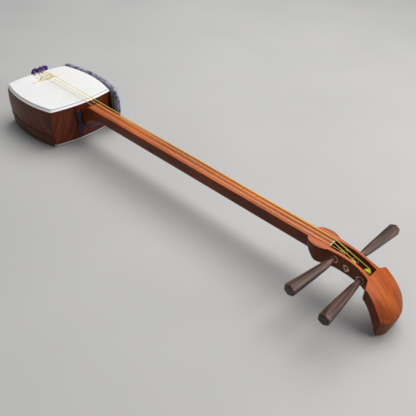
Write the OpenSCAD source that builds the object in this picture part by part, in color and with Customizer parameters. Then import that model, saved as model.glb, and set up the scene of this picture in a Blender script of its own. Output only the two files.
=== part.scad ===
// Shamisen: three-stringed long-necked lute with a square skin-covered body,
// a take-apart neck, side-mounted friction pegs and a cloth arm cover.
// Frame: origin at the centre of the body on the plane of the back skin,
// +X along the neck towards the head, +Z out of the front skin,
// +Y towards the thickest string and the arm cover.

/* [Body] */
// Half length of the body between its corners, along the neck
corner_x = 86; // [85:0.5:88]
// Half width of the body between its corners, across the neck
corner_y = 76; // [75:0.5:78]
// How far the neck and tail sides bow out in plan
bow_x = 9; // [8:0.5:10]
// How far the two long sides bow out in plan
bow_y = 14; // [13:0.5:14.5]
// How far every side swells at half height
swell = 3; // [2.5:0.25:3.5]
// Wall thickness of the four body panels
wall = 12; // [10:0.5:13]
// Overall height of the body over both skins
body_h = 90; // [89:0.5:91]
// Thickness of a stretched skin
skin_t = 1; // [0.8:0.1:1.2]
// Depth of the skin folded down over the rim
skin_fold = 6.2; // [5.6:0.2:7]
// How far the rim is set in from the side, inside the shoulder
rim_in = 3.5; // [3:0.25:4]

/* [Neck] */
// Distance from the neck side of the body to the nut
neck_len = 624; // [600:1:640]
// Width of the neck at the body
neck_w0 = 27.2; // [26:0.1:28]
// Width of the neck at the nut
neck_w1 = 25.4; // [24.5:0.1:26]
// Depth of the neck behind its playing face
neck_d = 27; // [26:0.5:28]
// Height of the playing face above the back skin at the body
face_z0 = 92; // [91.5:0.5:92.5]
// Height of the playing face above the back skin at the nut
face_z1 = 90.5; // [90:0.5:91]
// Width of the tenon that runs through the body
tenon_w = 18; // [16:0.5:19]

/* [Head] */
// Widest half width of the flared head
flare_w = 34; // [32:0.5:35]
// Length of the string slot
slot_len = 70; // [68:0.5:71]
// Width of the string slot at the nut
slot_w = 21; // [19:0.5:21.5]

/* [Pegs] */
// Length of a peg handle outside its bushing
handle_len = 96; // [88:1:98]
// Radius across the corners at the outer end of a handle
handle_r = 10.2; // [9:0.1:10.6]
// Radius of the journal on the handle side
journal_r = 4; // [3.8:0.05:4.2]
// Radius of the journal on the tip side
tip_r = 3; // [2.8:0.05:3.2]
// Radial clearance between a journal and its bushing
clear = 0.05; // [0.02:0.01:0.08]

/* [Bridge] */
// Distance of the bridge from the body centre, towards the tail
bridge_x = 47; // [44:1:50]
// Height of the bridge
bridge_h = 10; // [9.5:0.1:10.5]

/* [Hidden] */

wood = [0.52, 0.22, 0.12];
neck_wood = [0.72, 0.37, 0.22];
peg_wood = [0.27, 0.16, 0.14];
brass = [0.82, 0.68, 0.38];
winding_yellow = [0.93, 0.86, 0.25];
string_yellow = [0.86, 0.66, 0.18];
arm_cord_blue = [0.16, 0.2, 0.42];

// Plan arcs: the long sides centre on y = +-long_c, the neck and tail sides on x = +-end_c
long_r = (corner_x * corner_x + bow_y * bow_y) / (2 * bow_y);
end_r = (corner_y * corner_y + bow_x * bow_x) / (2 * bow_x);
long_c = corner_y + bow_y - long_r;
end_c = corner_x + bow_x - end_r;
plan_fn = 200;

wood_z0 = skin_t;               // the panels fill the height between the skins
wood_z1 = body_h - skin_t;
z_mid = body_h / 2;
face_x = corner_x + bow_x;      // middle of the neck side of the body
nut_x = face_x + neck_len;
joint_1 = 326;                  // lower to middle neck
joint_2 = 470;                  // middle to upper neck
fit = 0.1;                      // gap around tenon, spike and tongues

// Outward direction of the mitre at the +X +Y corner, and the ends of its cutting line
long_a = asin(corner_x / long_r);
end_a = asin(corner_y / end_r);
normals = [sin(long_a) + cos(end_a), cos(long_a) + sin(end_a)];
mitre_dir = normals / norm(normals);
mitre_out = [corner_x, corner_y] + 70 * mitre_dir;
mitre_in = [corner_x, corner_y] - 50 * mitre_dir;

// ---- shared shapes ----
// Skins the rings of points in sections into one solid; rings run anticlockwise seen from the end
module loft(sections) {
    n = len(sections[0]);
    m = len(sections);
    polyhedron(
        points = [for (s = sections) for (p = s) p],
        faces = concat(
            [[for (j = [0:n - 1]) j]],
            [[for (j = [0:n - 1]) (m - 1) * n + n - 1 - j]],
            [for (i = [0:m - 2]) for (j = [0:n - 1])
                [i * n + j, (i + 1) * n + j, (i + 1) * n + (j + 1) % n]],
            [for (i = [0:m - 2]) for (j = [0:n - 1])
                [i * n + j, (i + 1) * n + (j + 1) % n, i * n + (j + 1) % n]]),
        convexity = 6);
}

function unit(v) = v / norm(v);
function tangent(path, i) =
    i == 0 ? unit(path[1] - path[0])
    : i == len(path) - 1 ? unit(path[i] - path[i - 1])
    : unit(unit(path[i + 1] - path[i]) + unit(path[i] - path[i - 1]));
function ring(centre, along, radius, ref, n) =
    let (a = unit(cross(ref, along)), b = cross(along, a))
    [for (k = [0:n - 1]) centre + radius * (cos(360 * k / n) * a + sin(360 * k / n) * b)];
// Cord swept through the points of path; radius is one value or one per point,
// ref is any direction the cord never runs along
module cord(path, radius, ref = [1, 0, 0], n = 10)
    loft([for (i = [0:len(path) - 1])
        ring(path[i], tangent(path, i), is_list(radius) ? radius[i] : radius, ref, n)]);

// Bar along X, centred on y = 0, with gap added to its sides
module bar(x, length, width, z, height, gap = 0)
    translate([x, -width / 2 - gap, z - gap]) cube([length, width + 2 * gap, height + 2 * gap]);

// ---- body ----
step_h = 2.6;      // height of the rim above its shoulder
rim_lean = 0.2;    // how far the rim leans in over that height

function swell_at(z) =
    let (u = (z - z_mid) / (z_mid - skin_fold)) swell * max(1 - u * u, 0);

// One side: straight inner wall, swelling outer wall, a shoulder and a rim at each skin
function side_profile(r, depth) = concat(
    [[r - depth, wood_z0], [r - rim_in - rim_lean, wood_z0],
     [r - rim_in, wood_z0 + step_h], [r, skin_fold]],
    [for (u = [-0.75:0.25:0.75]) let (z = z_mid + u * (z_mid - skin_fold)) [r + swell_at(z), z]],
    [[r, body_h - skin_fold], [r - rim_in, wood_z1 - step_h],
     [r - rim_in - rim_lean, wood_z1], [r - depth, wood_z1]]);
module side_ring(x, y, r, depth = wall)
    translate([x, y, 0]) rotate_extrude($fn = plan_fn) polygon(side_profile(r, depth));

// Region between the mitres at the ends of a long side (side = 1 is +Y)
module mitre_long(side) linear_extrude(body_h) polygon([
    [mitre_out[0], side * mitre_out[1]], [mitre_in[0], side * mitre_in[1]],
    [-mitre_in[0], side * mitre_in[1]], [-mitre_out[0], side * mitre_out[1]]]);
// The same for the neck side (side = 1) or tail side (side = -1)
module mitre_end(side) linear_extrude(body_h) polygon([
    [side * mitre_out[0], mitre_out[1]], [side * mitre_in[0], mitre_in[1]],
    [side * mitre_in[0], -mitre_in[1]], [side * mitre_out[0], -mitre_out[1]]]);

// The tenon runs through the body and ends in a narrower spike through the tail side
tenon_z = 31;
tenon_h = 30;
spike_w = 12;
spike_z = tenon_z + 7;
spike_h = 16;
module tenon(x, length, gap = 0) bar(x, length, tenon_w, tenon_z, tenon_h, gap);
module spike(x, length, gap = 0) bar(x, length, spike_w, spike_z, spike_h, gap);

module body_panel_left() color(wood) intersection() {
    side_ring(0, long_c, long_r);
    mitre_long(1);
}
module body_panel_right() color(wood * 0.8) intersection() {
    side_ring(0, -long_c, long_r);
    mitre_long(-1);
}
module body_panel_neck() color(wood) difference() {
    intersection() {
        side_ring(end_c, 0, end_r);
        mitre_end(1);
    }
    tenon(-150, 300, fit);
}
module body_panel_tail() color(wood) difference() {
    intersection() {
        side_ring(-end_c, 0, end_r);
        mitre_end(-1);
    }
    spike(-150, 100, fit);
}

// Solid of revolution under a profile of [offset from radius r, z]
module turned(r, profile) rotate_extrude($fn = plan_fn) polygon(concat(
    [[0, profile[0][1]]],
    [for (p = profile) [r + p[0], p[1]]],
    [[0, profile[len(profile) - 1][1]]]));
// Region inside all four side arcs, with the same profile on each side
module four_sided(profile) intersection() {
    translate([0, long_c, 0]) turned(long_r, profile);
    translate([0, -long_c, 0]) turned(long_r, profile);
    translate([end_c, 0, 0]) turned(end_r, profile);
    translate([-end_c, 0, 0]) turned(end_r, profile);
}

// Skin stretched over a rim and folded down to its shoulder
fold_t = 0.7;      // sideways thickness of the fold
module front_skin() color("white") let (edge_z = body_h - skin_fold) difference() {
    four_sided([[fold_t, edge_z], [fold_t, edge_z + 0.6],
        [fold_t - rim_in, wood_z1 - step_h + 0.5], [fold_t - rim_in - rim_lean, body_h]]);
    four_sided([[0, edge_z], [-rim_in, wood_z1 - step_h], [-rim_in - rim_lean, wood_z1]]);
}
module back_skin() color("white") translate([0, 0, body_h]) mirror([0, 0, 1]) front_skin();

// Half-moon leather patch where the plectrum strikes
patch_t = 0.3;
patch_r = 72;
patch_inset = 11;  // from the neck side
module plectrum_patch() color([0.93, 0.92, 0.88])
    translate([0, 0, body_h]) linear_extrude(patch_t) intersection() {
        translate([118, 12]) circle(r = patch_r, $fn = 120);
        translate([40, -60]) square([46, 120]);
        translate([end_c, 0]) circle(r = end_r - patch_inset, $fn = plan_fn);
    }

// Thin strip on the -Y side near the back skin, standing out over the skin fold
knee_t = 1.1;
knee_z = [2.4, 8.6, 12, 16, 21, 26];
function knee_r(z) = long_r + max(swell_at(z) + 0.25, z < 9 ? 0.95 : 0);
module knee_strip() color([0.42, 0.2, 0.13]) intersection() {
    translate([0, -long_c, 0]) rotate_extrude($fn = plan_fn) polygon(concat(
        [for (z = knee_z) [knee_r(z), z]],
        [for (k = [5:-1:0]) [knee_r(knee_z[k]) + knee_t, knee_z[k]]]));
    linear_extrude(60) polygon([[-92, -140], [-80, -60], [79, -60], [88, -140]]);
}

// ---- neck ----
back_round = 13;   // depth of the rounded back
back_power = 0.76; // 1 makes the back an ellipse, less makes it squarer

// Part of the neck length from body to nut, 0 to 1
function face_z(x) =
    x <= face_x ? face_z0
    : x >= nut_x ? face_z1
    : face_z0 + (face_z1 - face_z0) * (x - face_x) / neck_len;
function neck_hw(x) =
    (neck_w0 + (neck_w1 - neck_w0) * min(max(x - face_x, 0), neck_len) / neck_len) / 2;
// Smooth step from 0 at a to 1 at b
function ease(x, a, b) = x <= a ? 0 : x >= b ? 1 : (1 - cos(180 * (x - a) / (b - a))) / 2;
// Drop of the front face in a breast curve before the body
function breast(x) = x >= 132 ? 0 : 0.5 * pow(132.5 - x, 1.06);
// Extra depth of the heel, which sweeps down to the body
function heel(x) = x >= 164 ? 0 : 39 * pow((164 - x) / 68, 2);

// Rounded back of a cross-section of half width hw whose lowest point is at z
function back_curve(x, hw, z, depth, power, n = 14) = [for (i = [0:n]) let (t = 180 * i / n)
    [x, -hw * sign(cos(t)) * pow(abs(cos(t)), power),
     z + depth - depth * pow(abs(sin(t)), power)]];
// Flat top, straight cheeks and rounded back
function neck_section(x) = let (hw = neck_hw(x), top = face_z(x) - breast(x)) concat(
    [[x, hw, top], [x, -hw, top]],
    back_curve(x, hw, face_z(x) - neck_d - heel(x), back_round, back_power));

// Stations of the lower neck before the first joint
lower_x = [88, 92, 96, 100, 104, 108, 112, 116, 120, 124, 128, 132, 138, 145, 154, 164];

// Tongue that reaches past the joint at x into the next piece
tongue_l = 22;
module tongue(x, gap = 0) bar(x - 1, tongue_l + 1 + gap, 8, face_z(x) - 19, 12, gap);

module lower_neck() color(neck_wood) union() {
    difference() {
        loft([for (x = concat(lower_x, [joint_1])) neck_section(x)]);
        // fit against the neck side of the body
        side_ring(end_c, 0, end_r, 40);
        translate([80, -30, 0]) cube([14, 60, body_h]);
    }
    tenon(-82, 182);
    spike(-110, 30);
    tongue(joint_1);
}
module middle_neck() color(neck_wood) union() {
    difference() {
        loft([for (x = [joint_1, joint_2]) neck_section(x)]);
        tongue(joint_1, fit);
    }
    tongue(joint_2);
}

// ---- head ----
// u is the distance past the nut
nose_u = 125;      // the head ends in an arc in plan, of radius nose_r
nose_r = 49.8;
nose_min_hw = 3;
mid_bend_r = 131.4;   // bend of the front along its middle
edge_bend_r = 111;    // and along its edges
// Stations along the head
head_u = [joint_2 - nut_x, each [-36.2:2.5:4], each [6:10:66], 70, 71.8, 73.5, 75.2, 77,
    each [82:7:103], 108, 111.6, 114.5, 117, 119.2, 121, 122.5, 123.7, 124.6];

// Half width beside the string slot, narrowest at u = 48
function cheek(u) =
    14.5 + (u < 48 ? 3.1 * pow((48 - max(u, -4)) / 48, 2) : 2 * pow((u - 48) / 20, 2));
// Extra half width of the bulge around the nut
function bulb(u) = u <= -36 || u >= 4 ? 0 : 11 * sqrt(sin(180 * (u + 36) / 40));
// Half width before the end is rounded off
function flared_hw(u) = let (flare = ease(u, 70, 77))
    max(neck_w1 / 2 + bulb(u), u > -20 ? cheek(u) : 0) * (1 - flare)
    + (flare_w - 3.2 + 3.2 * ease(u, 77, 108)) * flare;
function head_hw(u) = u < 75 ? flared_hw(u)
    : min(flared_hw(u), sqrt(max(nose_r * nose_r - pow(u - nose_u + nose_r, 2),
                                 nose_min_hw * nose_min_hw)));
// Fall of the front below the playing face on an arc of radius r
function drop(u, r) = u <= 15 ? 0 : r - sqrt(r * r - (u - 15) * (u - 15));
function front_z(u, y) = face_z1 - drop(u, mid_bend_r)
    - (drop(u, edge_bend_r) - drop(u, mid_bend_r)) * pow(y / flare_w, 2);
// Depth of the back below the playing face
function head_depth(u) = let (past = max(u - 62, 0))
    min(neck_d + 8 * ease(u, -37, -22) - 2 * ease(u, 0, 20) + 2.5 * ease(u, 40, 62)
        + 0.14 * past + 0.0195 * past * past, face_z1 - 0.3)
    - 25 * pow(max(u - 119, 0) / 6, 2);
function head_section(u) = let (x = nut_x + u, hw = head_hw(u)) concat(
    [for (k = [3:-1:-3]) [x, hw * k / 3, front_z(u, hw * k / 3)]],
    back_curve(x, hw, face_z1 - head_depth(u),
        u > 118 ? 1.5 : back_round - 7 * ease(u, 0, 80),
        back_power - 0.2 * ease(u, -20, 70), 10));

// Pegs 1 to 3: [distance past the nut, z from the playing face, turn about Z, tilt]
pegs = [
    [60, -22.5, 0, 3],
    [36, -17, 173.8, -4],
    [17, -11.5, -8.5, 3]];
// Puts the peg axis on Z with the handle at +Z; i counts from 0 for peg 1
module at_peg(i) translate([nut_x + pegs[i][0], 0, face_z1 + pegs[i][1]])
    rotate([0, 0, pegs[i][2]]) rotate([90 + pegs[i][3], 0, 0]) children();
function cheek_at(i) = head_hw(pegs[i][0]);

// Bushings: sleeves from bush_z out through the cheek, each with a thin outer flange
bush_z = 9;
bush_out = 0.6;    // how far a sleeve stands out of the cheek
flange_in = 0.2;   // how far a flange is sunk into the cheek
flange_t = 0.9;
handle_bush_r = 5.6;
handle_flange_r = 6.4;
tip_bush_r = 4.6;
tip_flange_r = 6.1;
bush_gap = 0.05;
flange_gap = 0.1;

nut_h = 3.4;
nut_sink = 2;      // depth of its seat below the playing face

module upper_neck_head() color(neck_wood) difference() {
    loft([for (u = head_u) head_section(u)]);
    tongue(joint_2, fit);
    // string slot, open through the back
    translate([nut_x, 0, 0]) linear_extrude(200) polygon([
        [0.8, -slot_w / 2], [slot_len, -slot_w / 2 + 1],
        [slot_len, slot_w / 2 - 1], [0.8, slot_w / 2]]);
    // seat of the nut
    translate([nut_x - 2, -slot_w / 2, face_z1 - nut_sink]) cube([3, 16, 10]);
    // bushing holes and flange seats
    for (i = [0:2]) at_peg(i) let (w = cheek_at(i) - flange_in) {
        translate([0, 0, 8]) cylinder(r = handle_bush_r + bush_gap, h = 40, $fn = 64);
        translate([0, 0, w]) cylinder(r = handle_flange_r + flange_gap, h = 40, $fn = 64);
        translate([0, 0, -48]) cylinder(r = tip_bush_r + bush_gap, h = 40, $fn = 64);
        translate([0, 0, -w - 40]) cylinder(r = tip_flange_r + flange_gap, h = 40, $fn = 48);
    }
}
module nut() color([0.8, 0.8, 0.78])
    translate([nut_x - 1.95, -slot_w / 2 + 0.3, face_z1 - nut_sink]) cube([2.4, 15.4, nut_h]);

module bushing_handle(i) color(brass) at_peg(i) let (w = cheek_at(i)) difference() {
    union() {
        translate([0, 0, bush_z])
            cylinder(r = handle_bush_r, h = w + bush_out - bush_z, $fn = 48);
        translate([0, 0, w - flange_in]) cylinder(r = handle_flange_r, h = flange_t, $fn = 48);
    }
    translate([0, 0, 5]) cylinder(r = journal_r + clear, h = 40, $fn = 48);
}
module bushing_tip(i) color(brass) at_peg(i) let (w = cheek_at(i)) difference() {
    union() {
        translate([0, 0, -w - bush_out])
            cylinder(r = tip_bush_r, h = w + bush_out - bush_z, $fn = 48);
        translate([0, 0, -w + flange_in - flange_t])
            cylinder(r = tip_flange_r, h = flange_t, $fn = 48);
    }
    translate([0, 0, -45]) cylinder(r = tip_r + clear, h = 40, $fn = 48);
}
module bushing_1_handle() bushing_handle(0);
module bushing_1_tip() bushing_tip(0);
module bushing_2_handle() bushing_handle(1);
module bushing_2_tip() bushing_tip(1);
module bushing_3_handle() bushing_handle(2);
module bushing_3_tip() bushing_tip(2);

// Friction peg: turned journals and core, then a six-sided handle that widens outwards
core_r = 3.4;
core_z = 8.7;      // half length of the core
// Handle stations: [distance outside the cheek, radius across corners]
handle_stations = [[9, 4.9], [13, 5.6], [handle_len - 2, handle_r], [handle_len, handle_r - 1.6]];
module peg(i) color(peg_wood) at_peg(i) let (w = cheek_at(i)) union() {
    rotate_extrude($fn = 48) polygon([
        [0, -w + 1], [tip_r, -w + 1], [tip_r, -core_z], [core_r, -core_z], [core_r, core_z],
        [journal_r, core_z], [journal_r, w + 1.2], [4.3, w + 1.2], [4.3, w + 12], [0, w + 12]]);
    loft([for (s = handle_stations)
        [for (k = [0:5]) [s[1] * cos(60 * k), s[1] * sin(60 * k), w + s[0]]]]);
}
module peg_1() peg(0);
module peg_2() peg(1);
module peg_3() peg(2);

// String wound on a peg core from z over length, with a taper at each end
taper = 1.2;
module winding(i, z, r, length) color(winding_yellow)
    at_peg(i) translate([0, 0, z]) difference() {
        union() {
            cylinder(r = r, h = length, $fn = 40);
            translate([0, 0, -taper]) cylinder(r1 = r - taper, r2 = r, h = taper, $fn = 40);
            translate([0, 0, length]) cylinder(r1 = r, r2 = r - taper, h = taper, $fn = 40);
        }
        translate([0, 0, -5]) cylinder(r = core_r, h = 30, $fn = 40);
    }
module winding_1() winding(0, -7.4, 6.2, 4.4);
module winding_2() winding(1, 0.1, 5.4, 3.0);
module winding_3() winding(2, -2.5, 4.9, 2.0);

// ---- strings, bridge and tail cord ----
// One entry for each of strings 1 to 3
string_r = [0.6, 0.42, 0.3];
tail_y = [12.5, 4.5, -7.5];
bridge_y = [12, 3.6, -8];
nut_y = [8.3, 0.4, -8];
nut_rise = [0.25, 1.65, 1.65];  // underside above the playing face at the nut
// Where each meets its winding, from the playing face at the nut
string_end = [[61.8, 7, -15.34], [38, 1.6, -11.36], [19.2, 0.8, -6.62]];
bridge_top = body_h + bridge_h;

module string(i) color(string_yellow) let (r = string_r[i]) cord([
    [-81.5, tail_y[i], body_h + 3.2],
    [-bridge_x - 1, bridge_y[i], bridge_top + r + 0.1],
    [nut_x + 0.2, nut_y[i], face_z1 + nut_rise[i] + r],
    [nut_x, 0, face_z1] + string_end[i]], r, [0, 0, 1], 12);
module string_1() string(0);
module string_2() string(1);
module string_3() string(2);

// Bamboo bridge: long foot, raised saddle on two legs, three notches
foot_lift = 0.02;  // gap between foot and skin
saddle_z = bridge_h - foot_lift;
module bridge() color([0.9, 0.82, 0.6]) difference() {
    intersection() {
        // outline seen along the strings
        translate([-bridge_x - 4, 2, body_h + foot_lift]) rotate([90, 0, 90]) linear_extrude(8)
            polygon([[-35, 0], [35, 0], [35, 1.4], [19, 2.6], [13.5, saddle_z],
                [-13.5, saddle_z], [-19, 2.6], [-35, 1.4]]);
        // outline seen across the strings
        translate([-bridge_x, 60, body_h]) rotate([90, 0, 0]) linear_extrude(120)
            polygon([[-3.4, 0], [3.4, 0], [2.9, 2.4], [0.9, bridge_h],
                [-1.4, bridge_h], [-2.9, 2.4]]);
    }
    // arch under the saddle
    translate([-bridge_x - 6, 2, body_h + 2.4]) rotate([90, 0, 90]) linear_extrude(12)
        polygon([[-9, 0.4], [9, 0.4], [7.5, 3.4], [-7.5, 3.4]]);
    // notches cleared for each string
    for (i = [0:2])
        translate([-bridge_x - 6, bridge_y[i] - string_r[i] - 0.3, bridge_top - 0.55])
            cube([12, 2 * string_r[i] + 0.6, 3]);
}

// Silk tail cord: ring on the tail spike and a riser over the rim for each string
riser_y = [24, 12, -4];
module tail_cord() color([0.33, 0.16, 0.5]) union() {
    difference() {
        translate([-104.5, 0, spike_z + spike_h / 2]) rotate([0, -90, 0])
            cylinder(r = 14.5, h = 3.6, $fn = 40);
        spike(-112, 12, fit);
    }
    for (i = [0:2]) let (y = riser_y[i], end_y = tail_y[i])
        cord([[-106.3, y * 0.3, tenon_z + 24], [-103.4, y * 0.8, 72], [-101.6, y, 84],
            [-100.4, y, 91], [-97.6, y, 96.6], [-92, (y + end_y) / 2, 97.2],
            [-83.6, end_y, body_h + 4.4]],
            [2.2, 2.2, 2.2, 3, 3.4, 2.8, 1.8], [0, 1, 0.2]);
}

// ---- arm cover on the +Y side ----
// Curved slab between two offsets from the long side arc and two heights, cut to a span
// of x at y = 30; flare moves each end of the span by y = 140
module cover(offsets, heights, span, flare = [-6, 6]) intersection() {
    translate([0, long_c, heights[0]]) difference() {
        cylinder(r = long_r + offsets[1], h = heights[1] - heights[0], $fn = plan_fn);
        translate([0, 0, -1])
            cylinder(r = long_r + offsets[0], h = heights[1] - heights[0] + 2, $fn = plan_fn);
    }
    linear_extrude(body_h + 10) polygon([[span[0], 30], [span[1], 30],
        [span[1] + flare[1], 140], [span[0] + flare[0], 140]]);
}
module arm_cover_lining() color([0.12, 0.14, 0.28])
    cover([3.6, 4.6], [12, 85.9], [-91.9, 100.9]);
module arm_cover_board() color([0.5, 0.48, 0.45])
    cover([4.6, 7.15], [12, 85.9], [-91.9, 100.9]);
module arm_cover_cloth() color([0.66, 0.67, 0.78]) union() {
    // outer face, top edge, neck end, tail end
    cover([7.2, 15.5], [9, 88], [-95, 109]);
    cover([1.4, 15.5], [86, 92], [-95, 109]);
    cover([3.6, 7.3], [12, 86.5], [101, 109], [6, 6]);
    cover([3.6, 7.3], [12, 86.5], [-95, -92], [-6, -6]);
}

// Cord from the cover's neck end, under the heel, tied in a bow on the other side
module arm_cord_neck() color(arm_cord_blue) union() {
    cord([[99.8, 72.6, 42], [101.6, 64, 37.5], [103.4, 44, 31], [104.2, 28, 28],
        [104.4, 12, 27.4], [104.4, 0, 28.6], [104.6, -10, 31], [104.9, -15.4, 36.6],
        [105, -16.6, 42.4]], 1.5);
    // knot
    cord([[105, -18, 42.8], [105, -18, 44.6], [105, -18, 47.6], [105, -18, 49.6]],
        [1.6, 2.9, 2.9, 1.6]);
    // loop
    cord([[104.6, -19.8, 50.2], [103.6, -21.8, 58], [102.4, -21.4, 66.5], [102, -19, 70],
        [102.8, -16.8, 66.5], [104.2, -16.6, 57], [104.8, -16.8, 50.2]], 1.2);
    // two hanging ends
    cord([[104.8, -21, 42.4], [104.4, -22.6, 34], [104.4, -23.8, 21]], [1.2, 1.2, 1.5]);
    cord([[108.5, -18, 45.5], [108.5, -18.4, 32], [107.6, -17.4, 16]], [1.2, 1.2, 1.5]);
}
// Cord from the cover's tail end to the tail spike
module arm_cord_tail() color(arm_cord_blue)
    cord([[-97.4, 73, 42], [-101, 60, 39], [-104.6, 40, 36], [-107, 18, 31.5],
        [-107, 9, 28], [-107, 2, 26.6]], [1.5, 1.5, 1.5, 1.5, 1.5, 2.2]);

body_panel_neck();
body_panel_tail();
body_panel_left();
body_panel_right();
front_skin();
back_skin();
plectrum_patch();
knee_strip();
lower_neck();
middle_neck();
upper_neck_head();
nut();
bushing_1_handle();
bushing_1_tip();
bushing_2_handle();
bushing_2_tip();
bushing_3_handle();
bushing_3_tip();
peg_1();
peg_2();
peg_3();
winding_1();
winding_2();
winding_3();
string_1();
string_2();
string_3();
bridge();
tail_cord();
arm_cover_board();
arm_cover_cloth();
arm_cover_lining();
arm_cord_neck();
arm_cord_tail();
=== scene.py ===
# A three-stringed long-necked lute with a square drum body, lying face up.
# The drum is centred on the origin, its front skin at z = 90 mm and its back skin at z = 0.
# The neck runs along +X to the head. +Y is the arm side, -Y the knee side, -X the tail.
# Shapes are written in millimetres and turned into metres when their mesh is made.
from math import (acos, asin, atan2, copysign, cos, exp, hypot, pi, radians, sin, sqrt)

import bmesh
import bpy
import numpy as np
from mathutils import Matrix, Vector


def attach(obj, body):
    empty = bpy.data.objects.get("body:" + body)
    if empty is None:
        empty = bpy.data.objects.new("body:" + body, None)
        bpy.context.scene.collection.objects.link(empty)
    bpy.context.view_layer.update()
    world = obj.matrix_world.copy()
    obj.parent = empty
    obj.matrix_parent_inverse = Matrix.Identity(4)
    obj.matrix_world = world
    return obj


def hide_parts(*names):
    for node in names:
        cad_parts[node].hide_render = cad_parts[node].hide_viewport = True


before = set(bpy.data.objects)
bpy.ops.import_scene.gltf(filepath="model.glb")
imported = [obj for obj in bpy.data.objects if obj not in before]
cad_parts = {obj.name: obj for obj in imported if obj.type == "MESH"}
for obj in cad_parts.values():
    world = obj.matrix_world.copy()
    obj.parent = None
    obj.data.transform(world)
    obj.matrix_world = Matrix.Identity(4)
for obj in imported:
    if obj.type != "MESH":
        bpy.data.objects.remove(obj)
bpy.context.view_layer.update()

rng = np.random.default_rng(11)
MM = 0.001

# ---------------------------------------------------------------- driving sizes
CORNER_X, CORNER_Y = 86.0, 76.0          # where the outer faces of the body meet
END_BOW, SIDE_BOW = 9.0, 14.0            # rise of the neck and tail arcs, of the arm and knee arcs
SIDE_R = (CORNER_X ** 2 + SIDE_BOW ** 2) / (2 * SIDE_BOW)
END_R = (CORNER_Y ** 2 + END_BOW ** 2) / (2 * END_BOW)
SIDE_C = CORNER_Y + SIDE_BOW - SIDE_R    # arc centres; the knee and tail ones are mirrored
END_C = CORNER_X + END_BOW - END_R
SWELL = 3.0                              # how far the panels bulge at mid height
WALL, BODY_H = 12.0, 90.0
FOLD, RIM = 6.2, 3.5                     # height and depth of the bevel at each panel edge
FACE_X = CORNER_X + END_BOW              # where the neck leaves the body
NECK_LEN = 624.0
NUT_X = FACE_X + NECK_LEN
JOINT_1, JOINT_2 = 326.0, 470.0          # the neck comes apart here
FOOT_Z, NUT_Z = 92.0, 90.5               # neck face at the body and at the nut
NECK_W, NUT_W = 27.2, 25.4
NECK_DEPTH, NECK_BACK_R = 27, 13

# String data run from the thick string to the thin one.
STRING_R = [0.70, 0.52, 0.38]
BRIDGE_STRING_Y = [12, 3.6, -8]
NUT_STRING_Y = [8.3, 0.4, -8]
TAIL_STRING_Y = [12.5, 4.5, -7.5]
BRIDGE_X, BRIDGE_Y, BRIDGE_H = -47.0, 2, 10.0


def ease(x, start, end):
    """Smooth step from 0 to 1."""
    if x <= start:
        return 0.0
    if x >= end:
        return 1.0
    return (1 - cos(pi * (x - start) / (end - start))) / 2


# ---------------------------------------------------------------- objects
def mesh_object(name, shape, weld=True):
    verts, faces = shape
    mesh = bpy.data.meshes.new(name)
    mesh.from_pydata([tuple(float(c) * MM for c in v) for v in verts], [],
                     [tuple(int(i) for i in f) for f in faces])
    if weld:
        mesh.validate()
    bm = bmesh.new()
    bm.from_mesh(mesh)
    if weld:
        bmesh.ops.remove_doubles(bm, verts=bm.verts, dist=1e-6)
    bmesh.ops.recalc_face_normals(bm, faces=bm.faces)
    bm.to_mesh(mesh)
    bm.free()
    obj = bpy.data.objects.new(name, mesh)
    bpy.context.scene.collection.objects.link(obj)
    return obj


def dress(obj, material, replaced, slot, sharp=0, body="instrument"):
    """Gives obj its material, smooth shading (edges over sharp degrees stay hard) and CAD part."""
    mesh = obj.data
    mesh.materials.clear()
    mesh.materials.append(material)
    mesh.polygons.foreach_set("use_smooth", [True] * len(mesh.polygons))
    if sharp:
        mesh.set_sharp_from_angle(angle=radians(sharp))
    mesh.update()
    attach(obj, body)
    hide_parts(replaced)


def add(name, shape, *args, **options):
    dress(mesh_object(name, shape), *args, **options)


def bake(obj):
    """Applies the modifiers of obj to its mesh."""
    bpy.context.view_layer.update()
    graph = bpy.context.evaluated_depsgraph_get()
    mesh = bpy.data.meshes.new_from_object(obj.evaluated_get(graph), depsgraph=graph)
    obj.modifiers.clear()
    old = obj.data
    obj.data = mesh
    bpy.data.meshes.remove(old)


def cut(obj, cutters):
    for cutter in cutters:
        mod = obj.modifiers.new("cut", "BOOLEAN")
        mod.operation = "DIFFERENCE"
        mod.object = cutter
        mod.solver = "EXACT"
    bake(obj)
    for cutter in cutters:
        bpy.data.objects.remove(cutter)


# ---------------------------------------------------------------- shapes: (vertices, faces)
def loft(rings, caps=True, closed=False):
    """Skins equal rings of points; closed joins the last ring to the first."""
    n, count = len(rings[0]), len(rings)
    faces = []
    for i in range(count if closed else count - 1):
        k = (i + 1) % count
        for j in range(n):
            nxt = (j + 1) % n
            faces.append((i * n + j, k * n + j, k * n + nxt, i * n + nxt))
    if caps and not closed:
        faces.append(tuple(range(n)))
        faces.append(tuple(range((count - 1) * n, count * n))[::-1])
    return [p for ring in rings for p in ring], faces


def join(*shapes):
    verts, faces = [], []
    for shape_verts, shape_faces in shapes:
        start = len(verts)
        verts += [tuple(p) for p in shape_verts]
        faces += [tuple(i + start for i in f) for f in shape_faces]
    return verts, faces


def lathe(profile, n=48):
    """Rings round Z for a profile of (radius, z)."""
    turns = [2 * pi * k / n for k in range(n)]
    return [[(r * cos(a), r * sin(a), z) for a in turns] for r, z in profile]


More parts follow.
